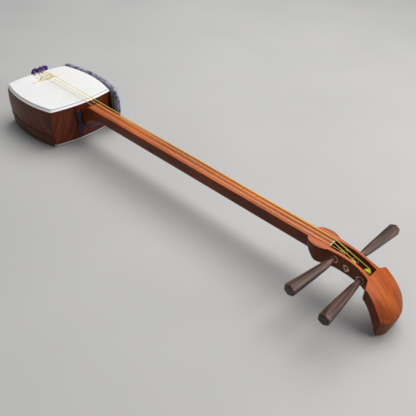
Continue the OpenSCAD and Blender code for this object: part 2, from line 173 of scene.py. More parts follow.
def spline(points, step):
    """Catmull-Rom curve through points, sampled about every step."""
    pts = np.array(points, float)
    pts = np.vstack([2 * pts[0] - pts[1], pts, 2 * pts[-1] - pts[-2]])
    out = []
    for p0, p1, p2, p3 in zip(pts, pts[1:], pts[2:], pts[3:]):
        k = max(2, int(round(np.linalg.norm(p2 - p1) / step)))
        for t in np.linspace(0, 1, k, endpoint=False):
            out.append(0.5 * ((2 * p1) + (-p0 + p2) * t + (2 * p0 - 5 * p1 + 4 * p2 - p3) * t * t
                              + (-p0 + 3 * p1 - 3 * p2 + p3) * t ** 3))
    out.append(pts[-2])
    return np.array(out)


def tube(path, radius, sides, ripple=None, closed=False):
    """Sweeps a circle along path. radius: one, or one per point. ripple(angle, length along
    the path) gives the extra radius as a share of radius."""
    path = np.array(path, float)
    count = len(path)
    if closed:
        tangent = np.roll(path, -1, 0) - np.roll(path, 1, 0)
    else:
        tangent = np.gradient(path, axis=0)
    tangent /= np.linalg.norm(tangent, axis=1)[:, None]
    steps = np.linalg.norm(np.diff(path, axis=0), axis=1)
    length = np.concatenate([[0], np.cumsum(steps)])
    first = np.cross(tangent[0], [0, 0, 1.0])
    if np.linalg.norm(first) < 0.2:
        first = np.cross(tangent[0], [0, 1.0, 0])
    across = [first / np.linalg.norm(first)]
    for t in tangent[1:]:
        side = across[-1] - np.dot(across[-1], t) * t
        across.append(side / np.linalg.norm(side))
    closing = 0.0
    if closed:                           # the frame's closing angle is spread along the loop
        t = tangent[0]
        end = across[-1] - np.dot(across[-1], t) * t
        end /= np.linalg.norm(end)
        closing = atan2(np.dot(np.cross(end, across[0]), t), np.dot(end, across[0]))
    radii = np.broadcast_to(radius, count)
    rings = []
    for i in range(count):
        side = across[i]
        up = np.cross(tangent[i], side)
        turn = closing * i / (count - 1)
        ring = []
        for k in range(sides):
            a = 2 * pi * k / sides
            r = radii[i] * (1 + (ripple(a, length[i]) if ripple else 0.0))
            ring.append(path[i] + r * (cos(a + turn) * side + sin(a + turn) * up))
        rings.append(ring)
    return loft(rings, closed=closed)


def braid(pitch, depth):
    """Ripple of a three-strand braid."""
    return lambda a, s: depth * (abs(cos(3 * a / 2 + pi * s / pitch))
                                 + abs(cos(3 * a / 2 - pi * s / pitch)) - 1.27)


def twist(pitch, depth):
    """Ripple of a two-strand twist."""
    return lambda a, s: depth * (abs(cos(a + 2 * pi * s / pitch)) - 0.64)


def trefoil(count):
    """Trefoil knot: its two plan coordinates and its height, each as an array."""
    t = np.linspace(0, 2 * pi, count, endpoint=False)
    reach = 2 + np.cos(3 * t)
    return reach * np.cos(2 * t), reach * np.sin(2 * t), np.sin(3 * t)


# ---------------------------------------------------------------- material kit
class Surface:
    """A material with one Principled shader and short calls for the nodes that feed it."""
    SOCKETS = dict(color="Base Color", rough="Roughness", metal="Metallic", coat="Coat Weight",
                   coat_rough="Coat Roughness", normal="Normal", sheen="Sheen Weight",
                   sheen_rough="Sheen Roughness", sheen_tint="Sheen Tint",
                   sss="Subsurface Weight", sss_scale="Subsurface Scale",
                   spec="Specular IOR Level")

    def __init__(self, name):
        self.material = bpy.data.materials.new(name)
        self.material.use_nodes = True
        self.tree = self.material.node_tree
        self.tree.nodes.clear()
        output = self.node("OutputMaterial", {})
        self.shader = self.node("BsdfPrincipled", {})
        self.put(output.inputs["Surface"], self.shader.outputs["BSDF"])
        self.object_coords = self.node("TexCoord", {}).outputs["Object"]

    def put(self, socket, value):
        if isinstance(value, bpy.types.NodeSocket):
            self.tree.links.new(value, socket)
        elif socket.type == "RGBA":
            socket.default_value = (*value, 1)
        else:
            socket.default_value = value

    def node(self, kind, inputs, **settings):
        node = self.tree.nodes.new("ShaderNode" + kind)
        for key, value in settings.items():
            setattr(node, key, value)
        for key, value in inputs.items():
            self.put(node.inputs[key], value)
        return node

    def coords(self, scale, rot=None, loc=(0, 0, 0), source=None):
        """Object coordinates, turned, then scaled (one number, or one per axis) and moved."""
        vector = source or self.object_coords
        if rot is not None:
            vector = self.node("Mapping", {"Vector": vector, "Rotation": rot}).outputs[0]
        if not isinstance(scale, tuple):
            scale = (scale,) * 3
        return self.node("Mapping", {"Vector": vector, "Scale": scale,
                                     "Location": loc}).outputs[0]

    def noise(self, where, detail=3.0, rough=0.55, warp=0.0, rot=None, loc=(0, 0, 0), out="Fac"):
        """where: a coordinate socket, or the scale of the object coordinates."""
        if not isinstance(where, bpy.types.NodeSocket):
            where = self.coords(where, rot, loc)
        return self.node("TexNoise", {"Vector": where, "Scale": 1.0, "Detail": detail,
                                      "Roughness": rough, "Distortion": warp}).outputs[out]

    def shift(self, vector, where, amount, detail=2.0, rot=None, loc=(0, 0, 0)):
        """Pushes vector about by a colour noise."""
        noise = self.noise(where, detail, 0.5, rot=rot, loc=loc, out="Color")
        return self.node("VectorMath", {0: noise, 1: (amount,) * 3, 2: vector},
                         operation="MULTIPLY_ADD").outputs[0]

    def weave(self, scale, stretch, warp):
        """Crossed fine bands; stretch scales the first set along Y."""
        bands = [self.node("TexWave", {"Vector": self.coords(size), "Scale": scale,
                                       "Distortion": warp, "Detail": 1.0, "Detail Scale": 3.0},
                           bands_direction=axis).outputs["Fac"]
                 for size, axis in (((1, stretch, 1), "X"), (1, "Z"))]
        return self.math("MULTIPLY", *bands)

    def ramp(self, fac, stops):
        """stops: (position, colour)."""
        node = self.node("ValToRGB", {"Fac": fac})
        elements = node.color_ramp.elements
        while len(elements) > 1:
            elements.remove(elements[-1])
        elements[0].position = stops[0][0]
        elements[0].color = (*stops[0][1], 1)
        for position, color in stops[1:]:
            elements.new(position).color = (*color, 1)
        return node.outputs["Color"]

    def mix(self, mask, a, b, amount=None, blend="MIX"):
        """From a to b where mask is 1; amount scales the mask."""
        if amount is not None:
            mask = self.math("MULTIPLY", mask, amount)
        return self.node("Mix", {0: mask, 6: a, 7: b}, data_type="RGBA",
                         blend_type=blend).outputs[2]

    def math(self, operation, a, b, c=0.0):
        return self.node("Math", {0: a, 1: b, 2: c}, operation=operation).outputs[0]

    def weigh(self, a, a_weight, b, b_weight, operation="ADD"):
        return self.math(operation, self.math("MULTIPLY", a, a_weight),
                         self.math("MULTIPLY", b, b_weight))

    def remap(self, value, low, high, to=(0.0, 1.0)):
        return self.node("MapRange", {0: value, 1: low, 2: high, 3: to[0], 4: to[1]}).outputs[0]

    def axis(self, vector, index):
        return self.node("SeparateXYZ", {0: vector}).outputs[index]

    def bump(self, height, strength, depth, under=None):
        """depth in metres; under: the normal it is laid over."""
        inputs = {"Height": height, "Strength": strength, "Distance": depth}
        if under is not None:
            inputs["Normal"] = under
        return self.node("Bump", inputs).outputs["Normal"]

    def edge(self, radius):
        """Normal with softened edges."""
        return self.node("Bevel", {"Radius": radius}, samples=4).outputs["Normal"]

    def finish(self, **values):
        for key, value in values.items():
            self.put(self.shader.inputs[self.SOCKETS[key]], value)
        return self.material


def to_x(direction):
    """Rotation that brings direction onto +X."""
    turn = Vector(direction).normalized().rotation_difference(Vector((1, 0, 0)))
    return tuple(turn.to_euler())


# ---------------------------------------------------------------- materials
def wood(name, tones, seed, rot=None, along=6.0, streak=110.0, depth_streak=None,
         depth_pore=1500, pores=0.35, coat=0.05, spec=0.24, figured=False, painted_shade=None):
    """Grain along X after rot. along, streak, depth_streak: streak frequency on X, Y and Z.
    The last argument gives painted shade: it darkens whatever doesn't face up."""
    dark, mid, light = tones
    surface = Surface(name)
    place = dict(rot=rot, loc=(seed, seed * 0.7, seed * 1.3))
    depth = depth_streak or streak
    streaks = surface.shift(surface.coords((along, streak, depth), **place), (4, 12, 12),
                            amount=1.6, **place)
    coarse = surface.noise(streaks, detail=4.0, rough=0.6)
    fine = surface.noise((along * 3, streak * 3.6, depth * 3.6), detail=4.0, rough=0.65, **place)
    broad = surface.noise((2.5, 14, 14), detail=2.0, **place)
    tone = surface.math("MULTIPLY_ADD", broad, 0.35, surface.math("MULTIPLY", coarse, 0.75))
    tone = surface.math("MULTIPLY_ADD", fine, 0.35, tone)
    tone = surface.remap(tone, low=0.46, high=0.98)
    if figured:
        figure = surface.shift(surface.coords((12, 120, 120), **place), 16, amount=1.0,
                               loc=place["loc"])
        figure = surface.noise(figure, rough=0.6)
        figure = surface.remap(figure, low=0.32, high=0.7)
        tone = surface.weigh(tone, 0.5, figure, 0.5)
    bright = tuple(min(1, c * 1.25) for c in light)
    color = surface.ramp(tone, [(0.02, dark), (0.42, mid), (0.72, light), (1.0, bright)])
    pore = surface.noise((50, 1500, depth_pore), detail=1.0, rough=0.5, **place)
    pore = surface.remap(pore, low=0.60, high=0.70)
    color = surface.mix(pore, color, tuple(c * 0.35 for c in dark), amount=pores)
    # painted shade: faces turned away from up are multiplied darker, standing in for the shade on
    # the sides
    if painted_shade is not None:
        facing = surface.axis(surface.node("NewGeometry", {}).outputs["Normal"], 2)
        mask = surface.remap(facing, low=0.15, high=0.75, to=(1.0, 0.0))
        color = surface.mix(mask, color, (painted_shade, painted_shade * 0.94, painted_shade * 0.90), blend="MULTIPLY")
    height = surface.weigh(fine, 0.4, pore, 0.6, "SUBTRACT")
    normal = surface.bump(height, strength=0.25, depth=0.00012, under=surface.edge(0.0007))
    rough = surface.remap(fine, low=0.2, high=0.8, to=(0.36, 0.54))
    return surface.finish(color=color, rough=rough, coat=coat, coat_rough=0.22, spec=spec,
                          normal=normal)


# The neck's wood carries painted shade: faces that don't face up are darkened.
def neck_wood(name):
    return wood(name, [(0.160, 0.022, 0.003), (0.355, 0.061, 0.006), (0.53, 0.117, 0.015)],
                seed=1.0, depth_streak=12.0, depth_pore=120, painted_shade=0.34)


def body_wood(name, seed, grain):
    return wood(name, [(0.040, 0.007, 0.003), (0.092, 0.0155, 0.0045), (0.17, 0.033, 0.009)],
                seed=seed, rot=to_x(grain), along=11.0, streak=230.0, pores=0.45, coat=0.06,
                spec=0.22, figured=True)


def skin_material(name, base, warm, rough):
    surface = Surface(name)
    blotch = surface.noise(14, detail=4.0, rough=0.6)
    fibre = surface.noise((160, 900, 400), rough=0.6, rot=(0, 0, 0.5))
    color = surface.mix(surface.remap(blotch, low=0.35, high=0.75), base, warm)
    color = surface.mix(surface.remap(fibre, low=0.55, high=0.8), color,
                        tuple(c * 0.86 for c in base), amount=0.14)
    height = surface.math("ADD", surface.math("MULTIPLY", fibre, 0.25),
                          surface.noise(700, detail=2.0))
    return surface.finish(
        color=color, rough=surface.remap(blotch, low=0.2, high=0.8, to=(rough, rough + 0.15)),
        sss=0.06, sss_scale=0.002, coat=0.12, coat_rough=0.25,
        normal=surface.bump(height, strength=0.12, depth=0.00008))


def grip_material():
    surface = Surface("grip_sheet")
    color = surface.ramp(surface.noise(30, detail=4.0, rough=0.6),
                         [(0.3, (0.055, 0.014, 0.007)), (0.7, (0.105, 0.030, 0.013))])
    pebble = surface.node("TexVoronoi", {"Vector": surface.coords(1400), "Scale": 1.0,
                                         "Randomness": 1.0}).outputs["Distance"]
    normal = surface.bump(pebble, strength=0.25, depth=0.00015, under=surface.edge(0.0006))
    return surface.finish(color=color, rough=0.50, spec=0.3, normal=normal, coat=0.04)


def metal_material(name, dull, bright, rough, metal):
    surface = Surface(name)
    color = surface.ramp(surface.noise(220), [(0.3, dull), (0.75, bright)])
    scratch = surface.noise((60, 2600, 2600), detail=2.0)
    return surface.finish(
        color=color, metal=metal,
        rough=surface.remap(scratch, low=0.3, high=0.7, to=(rough, rough + 0.16)),
        normal=surface.bump(scratch, strength=0.12, depth=0.00005, under=surface.edge(0.0003)))


def peg_material(name, seed, rot, handle_end, tip_end):
    """handle_end, tip_end: places along the peg's axis, in metres, beyond which the ends are
    coloured near black; the near black at the tip, sunk in its bushing, is painted shade.
    """
    surface = Surface(name)
    place = dict(rot=rot, loc=(seed, seed, seed))
    streak = surface.shift(surface.coords((14, 260, 260), **place), (9, 40, 40), amount=1.5,
                           **place)
    streak = surface.noise(streak, detail=4.0, rough=0.62)
    fine = surface.noise((60, 1400, 1400), rough=0.6, **place)
    color = surface.ramp(streak, [(0.34, (0.014, 0.009, 0.008)), (0.47, (0.055, 0.027, 0.021)),
                                  (0.58, (0.13, 0.058, 0.036)), (0.70, (0.21, 0.092, 0.052))])
    color = surface.mix(surface.remap(fine, low=0.58, high=0.72), color, (0.008, 0.005, 0.005),
                        amount=0.5)
    along = surface.axis(surface.coords(1, rot), 0)
    end = surface.remap(along, low=handle_end - 0.0012, high=handle_end - 0.0002)
    color = surface.mix(end, color, (0.008, 0.006, 0.005), amount=0.9)
    # painted shade: the tip, sunk in its bushing's hole, is coloured near black
    tip = surface.remap(along, low=tip_end + 0.0002, high=tip_end + 0.0010, to=(1.0, 0.0))
    color = surface.mix(tip, color, (0.003, 0.002, 0.002), amount=0.95)
    return surface.finish(
        color=color, rough=surface.remap(fine, low=0.3, high=0.7, to=(0.30, 0.44)), coat=0.08,
        coat_rough=0.2, spec=0.35,
        normal=surface.bump(fine, strength=0.2, depth=0.0001, under=surface.edge(0.0004)))


def silk_material(name, dark, light):
    surface = Surface(name)
    fine = surface.noise(900)
    coarse = surface.noise((40, 300, 300), detail=2.0)
    mask = surface.remap(surface.weigh(fine, 0.6, coarse, 0.4), low=0.35, high=0.65)
    return surface.finish(color=surface.mix(mask, dark, light), rough=0.42, sheen=0.35,
                          sheen_rough=0.4, sheen_tint=(1.0, 0.95, 0.6),
                          normal=surface.bump(fine, strength=0.2, depth=0.00006))


def bamboo_material():
    surface = Surface("bamboo_spotted")
    fibre = surface.noise((900, 26, 900), rough=0.6)
    spot = surface.noise((150, 100, 200), detail=2.0)
    color = surface.ramp(fibre, [(0.3, (0.82, 0.72, 0.40)), (0.55, (0.90, 0.82, 0.54)),
                                 (0.75, (0.94, 0.89, 0.68))])
    color = surface.mix(surface.remap(spot, low=0.62, high=0.74), color, (0.46, 0.30, 0.13),
                        amount=0.30)
    normal = surface.bump(fibre, strength=0.2, depth=0.0001, under=surface.edge(0.0004))
    return surface.finish(color=color, rough=0.36, coat=0.25, normal=normal)


def cord_material(name, dark, mid, light):
    surface = Surface(name)
    fine = surface.noise(1100)
    coarse = surface.noise(120, detail=2.0)
    color = surface.ramp(surface.weigh(fine, 0.55, coarse, 0.45),
                         [(0.32, dark), (0.5, mid), (0.68, light)])
    return surface.finish(color=color, rough=0.62, sheen=0.6, sheen_rough=0.35,
                          sheen_tint=tuple(min(1, c * 3 + 0.25) for c in light),
                          normal=surface.bump(fine, strength=0.5, depth=0.0002))


def brocade_material():
    surface = Surface("brocade_padded_cloth")
    base = surface.coords(1, loc=(2.1, 0.4, 0.9))
    warped = surface.shift(base, 34, amount=0.030, detail=3.0, loc=(0.3, 0.1, 0.6))
    motif = surface.noise(surface.coords(44, source=warped), rough=0.5, warp=1.2)
    patches = surface.noise(surface.coords(85, loc=(3, 1, 2), source=warped), warp=1.0)
    clouds = surface.noise(26, detail=2.0, loc=(5, 2, 7))
    color = surface.ramp(motif, [
        (0.34, (0.026, 0.042, 0.115)), (0.445, (0.055, 0.088, 0.165)), (0.47, (0.25, 0.26, 0.35)),
        (0.53, (0.40, 0.35, 0.48)), (0.60, (0.55, 0.47, 0.58)), (0.655, (0.30, 0.29, 0.43)),
        (0.69, (0.040, 0.066, 0.14))])
    color = surface.mix(surface.remap(patches, low=0.57, high=0.61), color, (0.034, 0.055, 0.135))
    color = surface.mix(surface.remap(patches, low=0.30, high=0.40, to=(1.0, 0.0)), color,
                        (0.56, 0.50, 0.60), amount=0.55)
    color = surface.mix(surface.remap(clouds, low=0.42, high=0.6), color, (0.075, 0.12, 0.16),
                        amount=0.35)
    weave = surface.weave(420.0, stretch=0.25, warp=0.6)
    color = surface.mix(weave, color, (0.46, 0.44, 0.54), amount=0.12)
    raised = surface.bump(surface.remap(motif, low=0.4, high=0.55), strength=0.25, depth=0.0003)
    return surface.finish(
        color=color, rough=surface.remap(motif, low=0.4, high=0.6, to=(0.62, 0.42)),
        sheen=0.35, sheen_rough=0.35, sheen_tint=(0.8, 0.8, 1.0),
        normal=surface.bump(weave, strength=0.45, depth=0.0003, under=raised))


def lining_material():
    surface = Surface("navy_lining_cloth")
    weave = surface.weave(520.0, stretch=0.2, warp=0.4)
    color = surface.mix(surface.remap(surface.noise(60), low=0.3, high=0.7),
                        (0.018, 0.02, 0.055), (0.035, 0.04, 0.10))
    return surface.finish(color=color, rough=0.75, sheen=0.4,
                          normal=surface.bump(weave, strength=0.5, depth=0.0003))


def board_material():
    surface = Surface("cover_board_pressed_card")
    fibre = surface.noise(500, detail=4.0)
    color = surface.ramp(fibre, [(0.3, (0.20, 0.17, 0.12)), (0.7, (0.32, 0.28, 0.21))])
    return surface.finish(color=color, rough=0.85,
                          normal=surface.bump(fibre, strength=0.3, depth=0.0002))


def floor_material():
    surface = Surface("pale_floor")
    mask = surface.remap(surface.noise(3, detail=2.0), low=0.3, high=0.7)
    return surface.finish(color=surface.mix(mask, (0.42, 0.42, 0.425), (0.45, 0.45, 0.45)),
                          rough=0.7)


SKIN = skin_material("stretched_skin", (0.80, 0.80, 0.815), (0.83, 0.825, 0.82), rough=0.3)
PATCH = skin_material("plectrum_patch_skin", (0.765, 0.775, 0.76), (0.79, 0.79, 0.775),
                      rough=0.42)
NUT_METAL = metal_material("nut_metal_worn", (0.34, 0.32, 0.26), (0.52, 0.50, 0.42),
                           rough=0.34, metal=0.9)
BRASS = metal_material("bushing_brass_worn", (0.86, 0.66, 0.38), (1.0, 0.86, 0.58),
                       rough=0.17, metal=1.0)
STRING_SILKS = [
    silk_material("string_silk_thick", (0.86, 0.63, 0.03), (0.97, 0.80, 0.08)),
    silk_material("string_silk_medium", (0.84, 0.61, 0.06), (0.95, 0.77, 0.15)),
    silk_material("string_silk_thin", (0.72, 0.53, 0.13), (0.88, 0.70, 0.26))]
WINDING_SILK = silk_material("string_silk_winding", (0.78, 0.68, 0.015), (0.95, 0.90, 0.04))
# painted shade: the thin string's winding is coloured far darker than the other windings and than
# its own string, for the shade it lies in
THIN_WINDING_SILK_PAINTED_SHADE = silk_material("string_silk_winding_thin_painted_shade", (0.34, 0.22, 0.05),
                                  (0.50, 0.34, 0.09))
PURPLE = cord_material("purple_silk_cord", (0.026, 0.007, 0.07), (0.070, 0.020, 0.17),
                       (0.14, 0.050, 0.29))
NAVY = cord_material("navy_cord_braid", (0.004, 0.005, 0.022), (0.011, 0.014, 0.062),
                     (0.026, 0.034, 0.12))

# ---------------------------------------------------------------- body panels
ARCS = {"neck": (END_R, END_C), "tail": (END_R, END_C),
        "arm": (SIDE_R, SIDE_C), "knee": (SIDE_R, SIDE_C)}       # radius, centre
# side: CAD node, texture seed, grain direction
PANELS = {"neck": ("body_panel_neck", 4.0, (0, 0.36, 0.93)),
          "tail": ("body_panel_tail", 5.2, (0, -0.36, 0.93)),
          "arm": ("body_panel_left", 6.1, (0.64, 0, 0.77)),
          "knee": ("body_panel_right", 7.7, (0.64, 0, -0.77))}


def arc_point(side, radius, angle):
    along = radius * sin(angle)
    out = ARCS[side][1] + radius * cos(angle)
    if side in ("knee", "tail"):
        out = -out
    return (along, out) if side in ("arm", "knee") else (out, along)


def mitre_angle(side, radius):
    """End angle of a side arc where it meets the mitre line through the corner."""
    side_angle, end_angle = asin(CORNER_X / SIDE_R), asin(CORNER_Y / END_R)
    mitre = np.array([sin(side_angle) + cos(end_angle), cos(side_angle) + sin(end_angle)])
    mitre /= np.linalg.norm(mitre)
    long_side = side in ("arm", "knee")
    centre = (0, SIDE_C) if long_side else (END_C, 0)
    corner = np.array([CORNER_X, CORNER_Y]) - np.array(centre)
    b = float(corner @ mitre)
    c = float(corner @ corner) - radius * radius
    x, y = corner + (-b + sqrt(b * b - c)) * mitre
    return atan2(x, y) if long_side else atan2(y, x)


def swell_at(z):
    """Outward bulge of the panels at height z."""
    u = (z - BODY_H / 2) / (BODY_H / 2 - FOLD)
    return SWELL * max(1 - u * u, 0.0)


def panel(side):
    # (offset from the arc, height), closed
    edge = [(-WALL, 1.0), (-RIM - 0.2, 1.0), (-RIM, 3.6), (0.0, FOLD)]
    profile = edge + [(swell_at(z), z) for z in np.linspace(FOLD, BODY_H - FOLD, 25)[1:-1]]
    profile += [(g, BODY_H - z) for g, z in edge[::-1]]
    profile += [(-WALL, z) for z in np.linspace(BODY_H - 1, 1, 8)[1:-1]]
    radius = ARCS[side][0]
    count = 41
    rings = []
    for i in range(count):
        s = -1 + 2 * i / (count - 1)
        rings.append([(*arc_point(side, radius + g, mitre_angle(side, radius + g) * s), z)
                      for g, z in profile])
    return loft(rings)


for side, (node, seed, grain) in PANELS.items():
    add(f"{side}_side_panel", panel(side), body_wood(f"body_wood_{side}_side", seed, grain),
        node, "body_wood", sharp=30)

# ---------------------------------------------------------------- skins
# (offset from the side arcs, height) from the drum face over the rim and back underneath
SKIN_PROFILE = [
    (-14, 90.0), (-9, 90.0), (-6, 90.0), (-4.2, 89.97), (-3.5, 89.82), (-3.15, 89.5),
    (-3.0, 89.0), (-2.92, 88.2), (-2.85, 87.4), (-2.6, 87.0), (-2.0, 86.6), (-1.2, 86.0),
    (-0.3, 85.3), (0.4, 84.7), (0.68, 84.4), (0.76, 84.1), (0.72, 83.84), (0.4, 83.8),
    (0.06, 83.86), (0.05, 84.0), (-1.7, 85.2), (-3.44, 86.44), (-3.64, 88.95), (-9, 88.96),
    (-14, 88.96)]
SKIN_EDGE = range(13, 19)                # profile points of the uneven glued edge


def rim_loop(offset):
    """Plan of the body at an offset from its sides: rounded corners with closer points."""
    low, high = 0.0, 0.6
    for _ in range(50):                  # find where the two offset arcs cross
        side_half = (low + high) / 2
        x, y = arc_point("arm", SIDE_R + offset, side_half)
        if hypot(x - END_C, y) < END_R + offset:
            low = side_half
        else:
            high = side_half
    end_half = atan2(y, x - END_C)
    count = 160
    points = []
    for side, half, turn in (("neck", end_half, 1), ("arm", side_half, -1),
                             ("tail", end_half, -1), ("knee", side_half, 1)):
        for i in range(count):
            s = (-1 + 2 * i / count) * turn
            points.append(arc_point(side, ARCS[side][0] + offset, half * s))
    points = np.array(points)
    shifts = np.arange(-9, 10)
    weights = np.exp(-0.5 * (shifts / 2.2) ** 2)
    weights /= weights.sum()
    smooth = sum(w * np.roll(points, i, axis=0) for i, w in zip(shifts, weights))
    keep = [*range(0, 12, 2), *np.linspace(12, 148, 22).astype(int), *range(150, 160, 2)]
    return smooth[[q * count + i for q in range(4) for i in keep]]


def skin(front):
    def level(z):
        return z if front else BODY_H - z

    wobble = rng.normal(0, 1, 400)
    wobble = np.convolve(np.tile(wobble, 3), np.ones(9) / 9, "same")[400:800]
    rings = []
    for i, (offset, height) in enumerate(SKIN_PROFILE):
        rings.append([(x, y, level(height + (0.16 * wobble[(j * 3) % 400]
                                             if i in SKIN_EDGE else 0.0)))
                      for j, (x, y) in enumerate(rim_loop(offset))])
    inner = rim_loop(SKIN_PROFILE[0][0])
    outer_z, under_z = level(SKIN_PROFILE[0][1]), level(SKIN_PROFILE[-1][1])
    shrink = (0.8, 0.55, 0.3, 0.1)
    face = [[(x * s, y * s, outer_z) for x, y in inner] for s in shrink[::-1]]
    under = [[(x * s, y * s, under_z) for x, y in inner] for s in shrink]
    rings = face + rings + under
    verts, faces = loft(rings, caps=False)
    centre, n = len(verts), len(inner)
    verts += [(0, 0, outer_z), (0, 0, under_z)]
    last = (len(rings) - 1) * n
    for j in range(n):
        nxt = (j + 1) % n
        faces += [(centre, nxt, j), (centre + 1, last + j, last + nxt)]
    return verts, faces


add("front_drum_skin", skin(True), SKIN, "front_skin", "drum_skin")
add("back_drum_skin", skin(False), SKIN, "back_skin", "drum_skin")


def patch():
    """Half-moon patch on the front skin, at the neck side."""
    centre_x, centre_y, radius = 118, 12, 72      # its arc towards the bridge
    margin = 11                                   # set back from the neck-side arc

    def reach(y):
        return (centre_x - sqrt(radius ** 2 - (y - centre_y) ** 2),
                END_C + sqrt((END_R - margin) ** 2 - y * y))

    wide = []
    for y in np.linspace(-49, 66, 400):
        start, end = reach(y)
        if start < end - 0.5:
            wide.append(y)
    first, last = wide[0], wide[-1]
    rows, cols = 44, 14
    rings = []
    for i in range(rows):
        t = -cos(pi * i / (rows - 1))
        y = (first + last) / 2 + (last - first) / 2 * t
        start, end = reach(y)
        top, bottom = [], []
        for j in range(cols):
            s = (1 - cos(pi * j / (cols - 1))) / 2
            thick = sqrt(min(1.0, 4 * min(s, 1 - s), 3.0 * (1 - abs(t))))
            x = start + (end - start) * s
            top.append((x, y, BODY_H + 0.03 + 0.27 * thick))
            bottom.append((x, y, BODY_H + 0.005))
        rings.append(top + bottom[::-1])
    return loft(rings)


add("plectrum_guard_patch", patch(), PATCH, "plectrum_patch", "patch_skin")


def grip_sheet():
    """Thin sheet along the lower part of the knee side, its neck end slanted."""
    heights = [2.2, 3.2, 5, 7, 8.4, 9.4, 11, 13, 15, 17, 19, 21, 23, 25, 26]
    inner = [(max(swell_at(z) + 0.22, 0.95 if z < 9.4 else 0.0), z) for z in heights]
    outer = [(g + 1.15, z) for g, z in inner]
    for i, drop_z in ((0, -0.15), (-1, 0.15)):    # softened edges
        outer[i] = (inner[i][0] + 0.9, inner[i][1] + drop_z)
    count = 70
    rings = []
    for i in range(count):
        s = i / (count - 1)
        ring = []
        for g, z in inner + outer[::-1]:
            end = 75.5 + (26 - z) / 24 * 9.0
            start = -84.5 + 0.06 * z
            x = start + (end - start) * s
            y = -SIDE_C - sqrt((SIDE_R + g) ** 2 - x * x)
            ring.append((x, y, z + 0.10 * sin(x * 0.21) * (z > 20)))
        rings.append(ring)
    return loft(rings)


add("grip_sheet_wrap", grip_sheet(), grip_material(), "knee_strip", "grip_sheet", sharp=40)


# ---------------------------------------------------------------- neck
def neck_share(x):
    """0 at the body, 1 at the nut."""
    return min(max(x - FACE_X, 0), NECK_LEN) / NECK_LEN


def face_z(x):
    return FOOT_Z + (NUT_Z - FOOT_Z) * neck_share(x)


def breast(x):
    """How far the face drops beside the body."""
    return 0.0 if x >= 132 else 0.5 * (132.5 - x) ** 1.06 - 0.24


def heel(x):
    """Extra depth of the back beside the body."""
    return 0.0 if x >= 164 else 39 * ((164 - x) / 68) ** 2


def section(x, half, top, back_z, back_r, corner_r=0.7, power=0.76):
    """Ring with a face at top(y), straight cheeks and a rounded back of depth back_r."""
    flat = half - corner_r
    corner_z = top(flat) - corner_r
    corner = [(flat + corner_r * sin(radians(a)), corner_z + corner_r * cos(radians(a)))
              for a in (30, 60, 90)]
    ring = []
    for i in range(13):
        y = flat * (1 - 2 * i / 12)
        ring.append((x, y, top(y)))
    ring += [(x, -y, z) for y, z in corner]
    for i in range(34):
        t = pi * i / 33
        c = cos(t)
        ring.append((x, -half * copysign(abs(c) ** power, c),
                     back_z + back_r - back_r * max(sin(t), 0.0) ** power))
    return ring + [(x, y, z) for y, z in corner[::-1]]


def neck_section(x, inset=0.0):
    half = (NECK_W - (NECK_W - NUT_W) * neck_share(x)) / 2
    top = face_z(x) - breast(x) - inset
    return section(x, half - inset, lambda y: top, face_z(x) - NECK_DEPTH - heel(x) + inset,
                   NECK_BACK_R)


def block(start, end, width, low, high):
    """Chamfered bar along X."""
    def ring(x, inset):
        y, z0, z1 = width / 2 - inset, low + inset, high - inset
        return [(x, y, z1 - 1), (x, y - 1, z1), (x, 1 - y, z1), (x, -y, z1 - 1),
                (x, -y, z0 + 1), (x, 1 - y, z0), (x, y - 1, z0), (x, y, z0 + 1)]
    return loft([ring(start, 0.6), ring(start + 0.8, 0), ring(end - 0.8, 0), ring(end, 0.6)])


CHAMFER, CHAMFER_LEN = 0.22, 0.35        # at the neck joints
LOWER_X = [88, 90, 92, 94, 96, 98, 100, 103, 106, 109, 112, 115, 118, 121, 124, 127, 129.5,
           131.4, 131.9, 132.1, 133, 135, 138, 142, 146, 150, 154, 158, 162, 166, 172, 180,
           200, 230, 260, 290, 315, JOINT_1 - CHAMFER_LEN]
MIDDLE_X = [JOINT_1 + CHAMFER_LEN, 350, 380, 410, 440, JOINT_2 - CHAMFER_LEN]

lower_shaft = loft([neck_section(x) for x in LOWER_X] + [neck_section(JOINT_1, CHAMFER)])
tenon = block(-82, 92, 18, 31, 61)
spike = block(-110, -78, 12, 38, 54)
add("lower_neck_shaft", join(lower_shaft, tenon, spike), neck_wood("neck_wood_lower"),
    "lower_neck", "neck_wood", sharp=20)
add("middle_neck_shaft",
    loft([neck_section(JOINT_1, CHAMFER)] + [neck_section(x) for x in MIDDLE_X]
         + [neck_section(JOINT_2, CHAMFER)]),
    neck_wood("neck_wood_middle"), "middle_neck", "neck_wood", sharp=20)

# ---------------------------------------------------------------- head; u runs from the nut
NOSE_U, NOSE_R, FLARE = 125.0, 49.8, 34.0     # far end, its plan radius, greatest half width


def cheek(u):
    """Half width along the string box."""
    if u < 48:
        return 14.5 + 3.1 * ((48 - max(u, -4)) / 48) ** 2
    return 14.5 + 2 * ((u - 48) / 20) ** 2


def bulb(u):
    """Half width of the round swelling before the nut."""
    widening = 0.0 if u <= -36 or u >= 4 else 11 * sqrt(sin(radians(180 * (u + 36) / 40)))
    return NUT_W / 2 + widening


def head_half(u):
    if u <= -4:
        return max(bulb(u), cheek(u) if u > -20 else 0)
    flare = ease(u, 70, 77)
    half = (max(cheek(u), bulb(u)) * (1 - flare)
            + (FLARE - 3.2 + 3.2 * ease(u, 77, 108)) * flare)
    if u < 75:
        return half
    return min(half, sqrt(NOSE_R ** 2 - (u - NOSE_U + NOSE_R) ** 2))


def drop(u, radius):
    """Fall of an arc that starts level at u = 15."""
    return 0.0 if u <= 15 else radius - sqrt(radius * radius - (u - 15) ** 2)


def front_z(u, y):
    middle = drop(u, 131.4)
    return NUT_Z - middle - (drop(u, 111) - middle) * (y / FLARE) ** 2


